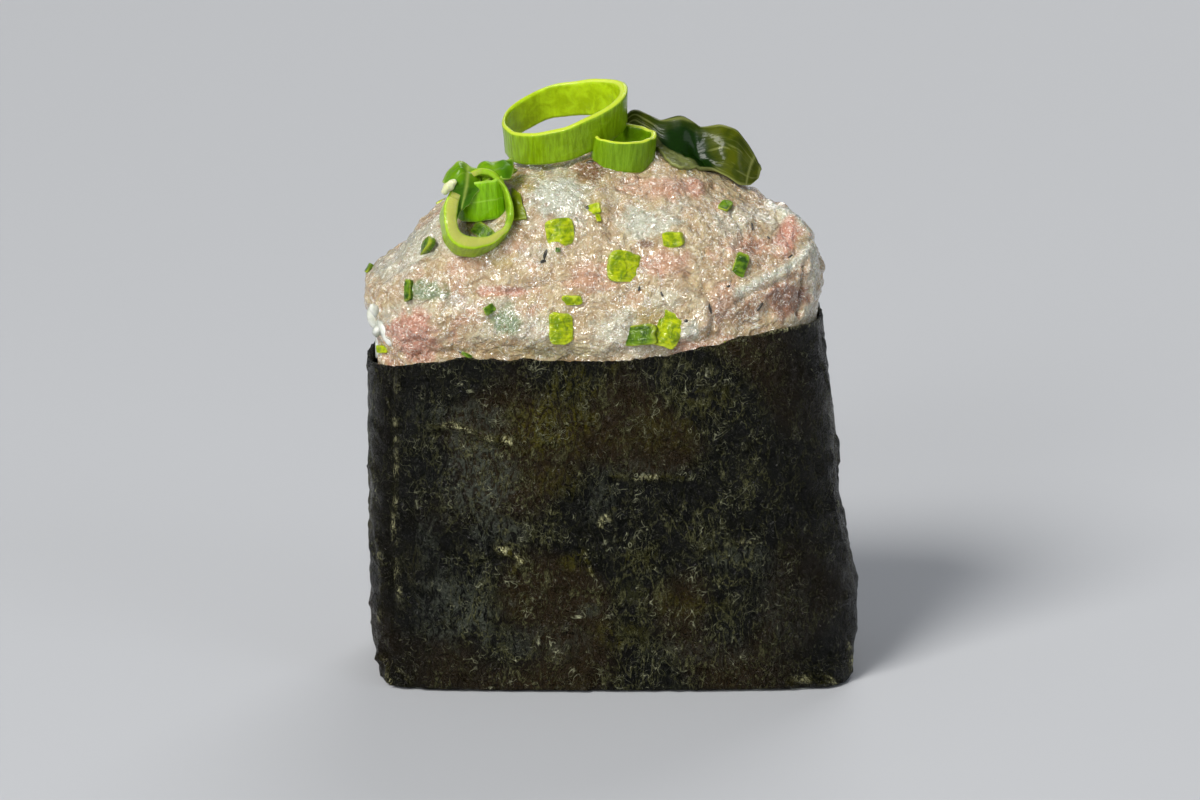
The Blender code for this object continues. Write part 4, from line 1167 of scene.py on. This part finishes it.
def right_leaf_rows():
    """The control rows of the right leaf: front edge, hollow face, top line, rounded back and back edge."""
    front, top, back = (np.array(line) for line in (LEAF_FRONT, LEAF_TOP, LEAF_BACK))
    pool = np.array(LEAF_POOL)[:, None]
    inward = np.array((0.0, 0.55, -0.75))
    low_face = front + 0.30 * (top - front) + pool * inward
    high_face = front + 0.65 * (top - front) + 0.9 * pool * inward
    shoulder = top + 0.45 * (back - top) + np.array((0.0, 0.3, 0.7))
    return front, low_face, high_face, top, shoulder, back


def make_leaf(name, points, tree, material, node, pale, light, crumple=0.12):
    """A thin leaf with a finely crumpled face, whose points stay just above what it lies on."""
    rows, columns = points.shape[:2]
    amount = crumple * (1.0 + 1.6 * smooth((3.6 - points[..., 0]) / 1.5))
    points = points + np.array(LEAF_CRUMPLE) * (amount * noise_at(points, 1.3, 4.0))[..., None]
    for row, column in np.ndindex(rows, columns):
        x, y, z = points[row, column]
        top, _ = meet(tree, (x, y, 90.0), (0.0, 0.0, -1.0))
        if top:
            points[row, column, 2] = max(z, top.z + LEAF_THICK / 2 + 0.05)
    u, v = np.meshgrid(np.linspace(0.0, 1.0, columns), np.linspace(0.0, 1.0, rows))
    edge = smooth(1.0 - 26.0 * np.minimum(np.minimum(u, 1.0 - u), np.minimum(v, 1.0 - v)))
    size = np.ptp(points.reshape(-1, 3), axis=0)
    values = {"across": v * max(size[1], size[2]), "level": u * size[0], "light": light(u, v) + 0.0 * u,
              "pale": np.maximum(0.6 * edge, pale(u, v))}
    piece = make_object(name, points, grid_faces(rows, columns), material, values)
    thicken(piece, LEAF_THICK)
    return finish_piece(piece, [node])


def right_leaf_pale(u, v):
    """Where the right leaf is pale: its lower left edge, the veins at its left end, and its folds."""
    reach = 0.42 - 0.9 * np.maximum(u - 0.2, 0.0)
    strip = smooth((reach - v) / 0.06) * smooth((u - 0.15) / 0.05) * smooth((0.50 - u) / 0.06)
    veins = 0.55 * smooth((0.30 - u) / 0.12) * smooth(np.cos(v * 60.0 + 5.0 * u) - 0.2)
    top_line = 0.45 * np.exp(-((v - 0.60 + 0.015 * np.sin(20.0 * u)) / 0.012) ** 2)
    fold_line = 0.5 * np.exp(-((u - 0.86 - 0.10 * v) / 0.008) ** 2) * (v < 0.6)
    return np.maximum(np.maximum(0.4 * strip, veins), np.maximum(top_line, fold_line))


def right_leaf_light(u, v):
    """Where the right leaf is lighter: its left lobe, its crest and its right lobe; it is darker in its
    hollow, as painted shade.
    """
    # painted shade in the hollow of the leaf
    hollow = np.exp(-((u - 0.44) / 0.15) ** 2) * smooth((0.62 - v) / 0.25)
    ends = smooth((0.26 - u) / 0.15) + 0.75 * smooth((u - 0.58) / 0.10)
    return np.clip(0.35 + ends - hollow, 0.0, 1.0)


def make_leaves(tree):
    """The right leaf, the torn leaf, the leaf behind it, and the olive bit."""
    dark = leaf_material("leaf_dark", (0.004, 0.018, 0.0005), (0.062, 0.076, 0.001), (0.30, 0.32, 0.10))
    fresh = leaf_material("leaf_fresh", (0.04, 0.14, 0.001), (0.17, 0.33, 0.003), (0.50, 0.62, 0.12))
    olive = leaf_material("leaf_olive", (0.07, 0.11, 0.002), (0.17, 0.22, 0.004), (0.28, 0.33, 0.02))
    torn = [[through(spot[:2], spot[2]) for spot in row] for row in TORN_ROWS]
    back = [[through(spot[:2], spot[2]) for spot in row] for row in BACK_ROWS]
    tile = [[meet(tree, CAMERA_AT, sight_line(pixel))[0] for pixel in row] for row in TILE_PIXELS]
    make_leaf("leaf_right", lofted(right_leaf_rows(), 110, 84, 8), tree, dark,
              "scallion_leaf_right", right_leaf_pale, right_leaf_light, 0.08)
    make_leaf("leaf_torn", lofted(torn, 48, 52, 3), tree, fresh,
              "scallion_leaf_torn",
              lambda u, v: 0.6 * np.exp(-((u - 0.75 + 0.3 * v) / 0.05) ** 2),
              # darker down into the ring: painted shade
              lambda u, v: 1.0 - 0.9 * smooth(v * 1.6), 0.2)
    make_leaf("leaf_back", lofted(back, 48, 36, 3), tree, fresh,
              "scallion_leaf_back",
              lambda u, v: 0.8 * np.exp(-(v / 0.06) ** 2),
              lambda u, v: 1.0 - 0.8 * smooth((u - 0.55) / 0.2), 0.2)
    make_leaf("leaf_tile", lofted(tile, 26, 40, 2) + np.array(TILE_LIFT), tree, olive,
              "scallion_tile",
              lambda u, v: 0.3 * smooth((0.1 - v) / 0.1),
              lambda u, v: 0.8)


def make_bead():
    """The white lump on the left ring's upper left."""
    white = scallion_material("scallion_white", *[BEAD_WHITE] * 4, 0.5)
    draw = random.Random(SEED + 3)
    points, faces, _ = grain_mesh((0.0, 0.0, 0.0), Euler((0.3, 0.5, 0.0)), 1.0, draw, 20, 16)
    points = points * np.array(BEAD_SIZE)
    points = points + unit(points) * 0.16 * noise_at(points, 0.5, 3.0)[:, None] + through(BEAD[:2], BEAD[2])
    values = {"outer": np.full(len(points), 0.5), "cut": np.ones(len(points)), "thin": np.zeros(len(points)),
              "level": points[:, 2], "turn": points[:, 0]}
    piece = make_object("ring_left_bead", points, faces, white, values)
    finish_piece(piece, ["scallion_ring_left"])


# Rice

def grain_mesh(at, turn, scale, draw, around=14, lengthways=12):
    """One cooked grain, a little irregular."""
    theta = np.linspace(0.0, math.pi, lengthways)[:, None]
    angle = np.linspace(0.0, 2.0 * math.pi, around, endpoint=False)[None, :]
    fat = np.sin(theta) ** 0.85 * (1.0 + 0.06 * np.cos(2.0 * angle + draw.uniform(0, 6)))
    bend = draw.uniform(-0.12, 0.12) * GRAIN_LONG
    x = fat * np.cos(angle) * GRAIN_THICK / 2 + bend * (1.0 - np.cos(theta) ** 2)
    y = fat * np.sin(angle) * GRAIN_THICK / 2
    z = np.cos(theta) * GRAIN_LONG / 2 + 0.0 * angle
    points = stack(x, y, z) * scale
    placed = points.reshape(-1, 3) @ np.array(turn.to_matrix()).T + np.array(at)
    return placed, grid_faces(lengthways, around, False, True), {}


def pressed_in(points):
    """The points kept inside the band, and on the surface that the rice stands on."""
    phi = np.arctan2(points[:, 1], points[:, 0])
    room = 0.25 + 0.45 * smooth((7.0 - points[:, 2]) / 4.0)
    wall = band_point(phi, points[:, 2], filling_inset(phi) + room)
    share = np.hypot(wall[:, 0], wall[:, 1]) / np.maximum(np.hypot(points[:, 0], points[:, 1]), 1e-6)
    held = points.copy()
    held[:, :2] *= np.minimum(share, 1.0)[:, None]
    held[:, 2] = np.maximum(held[:, 2], 0.0)
    return held


# The rice that shows at the left end above the rim, in the photo's pixels
RIM_GRAINS = ((375, 311), (374, 319), (379, 324), (376, 331), (384, 333))
CORE_GRID = (120, 60)    # points round and up the core
CORE_SIDE = 0.7    # share of the core's rows that lie on its side
FOOT_LONG = 47.6    # the grains underneath fill this length
FOOT_DEEP = 24.8    # and this depth
FOOT_COLUMNS = 19
FOOT_ROWS = 11
LIP_ROWS = 6
LIP_COLUMNS = 6
LIP_START = 28.5    # height of the lowest row at the left rim
LIP_STEP = 1.42


def rice_core():
    """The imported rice, drawn in to a point in the middle of its top and of its foot."""
    columns, rows = CORE_GRID
    bearings = np.linspace(-math.pi, math.pi, columns, endpoint=False)
    phi, level = np.meshgrid(bearings, np.linspace(-1.0, 1.0, rows))
    foot = level < -CORE_SIDE
    top = level > CORE_SIDE
    inwards = (1.0 - np.abs(level)) / (1.0 - CORE_SIDE)
    share = np.where(foot, 0.985 * inwards, np.where(top, 0.96 * inwards, 1.0))
    up = (np.clip(level, -CORE_SIDE, CORE_SIDE) + CORE_SIDE) / (2.0 * CORE_SIDE)
    z = RICE_CORE_FOOT + 0.5 + up * (RICE_TOP - RICE_CORE_FOOT - 1.1)
    z = np.where(foot, RICE_CORE_FOOT + 0.2, np.where(top, RICE_TOP, z))
    side = band_point(phi, z, filling_inset(phi) - 0.1)
    return stack(side[..., 0] * share, side[..., 1] * share, z), grid_faces(rows, columns, False, True), {}


def foot_grains(draw):
    """Grains that lie flat on the underside, in uneven rows that end at the band."""
    grains = []
    for column, row in np.ndindex(FOOT_COLUMNS, FOOT_ROWS):
        x = -FOOT_LONG / 2 + column * FOOT_LONG / (FOOT_COLUMNS - 1) + draw.uniform(-0.7, 0.7)
        y = -FOOT_DEEP / 2 + row * FOOT_DEEP / (FOOT_ROWS - 1) + draw.uniform(-0.5, 0.5)
        bearing = math.atan2(y, x)
        reach = band_point(np.array(bearing), np.array(1.0), filling_inset(bearing) + 1.2)
        past = max(math.hypot(x, y) / math.hypot(reach[0], reach[1]), 1.0)
        turn = Euler((math.pi / 2 + draw.uniform(-0.1, 0.1), 0.0, draw.uniform(0.0, math.pi)))
        grains.append(grain_mesh((x / past, y / past, GRAIN_REST), turn, draw.uniform(0.92, 1.02), draw))
    return grains


def lip_grains(draw):
    """Grains behind the left end's rim, in rows one above the other."""
    grains = []
    first, last = LIP_ARC
    for row, index in np.ndindex(LIP_ROWS, LIP_COLUMNS):
        bearing = first + (last - first) * (index + 0.5 * (row % 2)) / 5.5
        height = LIP_START + row * LIP_STEP
        inset = filling_inset(bearing) + draw.uniform(1.1, 1.6)
        spot = band_point(np.array(bearing), np.array(height), inset)
        spot[2] += draw.uniform(-0.3, 0.3)
        lean = math.pi / 2 + draw.uniform(-0.8, 0.8)
        turn = Euler((lean, 0.0, bearing + math.pi + draw.uniform(-0.35, 0.35)))
        grains.append(grain_mesh(spot, turn, draw.uniform(0.80, 0.95), draw))
    return grains


def make_rice(tree):
    """The rice: its core, the grains that show, and the small frosty lumps over the left rim."""
    draw = random.Random(SEED)
    points, faces, _ = join_meshes([rice_core(), *foot_grains(draw), *lip_grains(draw)])
    parts = [(pressed_in(points), faces, {})]
    for pixel in RIM_GRAINS:
        at, facing = meet(tree, CAMERA_AT, sight_line(pixel))
        if at:
            turn = Euler((draw.uniform(-1.2, 1.2), draw.uniform(-0.6, 0.6), draw.uniform(0.0, 3.0)))
            parts.append(grain_mesh(at - facing * 0.25, turn, draw.uniform(0.42, 0.56), draw))
    points, faces, _ = join_meshes(parts)
    piece = make_object("rice_dressed", points, faces, rice_material())
    return finish_piece(piece, ["rice"])


# The stage

def make_stage():
    bpy.ops.mesh.primitive_plane_add(size=40.0, location=(0.0, 0.0, 0.0))
    floor = bpy.context.object
    floor.name = "floor"
    paint = bpy.data.materials.new("floor")
    paint.use_nodes = True
    paint.node_tree.nodes["Principled BSDF"].inputs["Base Color"].default_value = (0.46, 0.47, 0.49, 1.0)
    paint.node_tree.nodes["Principled BSDF"].inputs["Roughness"].default_value = 0.8
    floor.data.materials.append(paint)

    world = bpy.data.worlds.new("studio")
    world.use_nodes = True
    world.node_tree.nodes["Background"].inputs["Color"].default_value = (0.80, 0.86, 0.95, 1.0)
    world.node_tree.nodes["Background"].inputs["Strength"].default_value = 0.22
    bpy.context.scene.world = world

    lamps = []
    for name, place, spread, strength, colour in (
        ("key", (-0.28, -0.34, 0.42), 22.0, 3.1, (1.0, 0.98, 0.94)),
        ("back", (0.10, 0.40, 0.38), 30.0, 0.9, (1.0, 1.0, 1.0)),
        ("fill", (0.45, -0.35, 0.25), 30.0, 0.45, (0.93, 0.96, 1.0)),
    ):
        light = bpy.data.lights.new(name, "SUN")
        light.energy = strength
        light.angle = math.radians(spread)
        light.color = colour
        lamps.append((light, place))
    low = bpy.data.lights.new("low", "AREA")
    low.size = 0.14
    low.energy = 1.3
    lamps.append((low, (-0.22, -0.52, 0.24)))
    for light, place in lamps:
        lamp = bpy.data.objects.new(light.name, light)
        lamp.location = place
        lamp.rotation_euler = (Vector((0.0, 0.0, 0.035)) - Vector(place)).to_track_quat("-Z", "Y").to_euler()
        bpy.context.scene.collection.objects.link(lamp)


def make_camera():
    bpy.context.scene.view_settings.view_transform = "Standard"
    camera = bpy.data.cameras.new("camera")
    camera.lens = FOCAL
    camera.sensor_width = SENSOR
    camera.clip_start = 0.01
    seat = bpy.data.objects.new("camera", camera)
    seat.location = (Vector(CAMERA_AT) - Vector(MIDDLE)) * MM
    seat.rotation_euler = (math.pi / 2 - ELEVATION, 0.0, 0.0)
    bpy.context.scene.collection.objects.link(seat)
    bpy.context.scene.camera = seat


def build():
    make_camera()
    make_stage()
    make_nori()
    tree = tree_of(make_tuna())
    make_rice(tree)
    make_chips(tree)
    make_specks(tree)
    make_rings()
    make_leaves(tree)
    make_bead()


build()
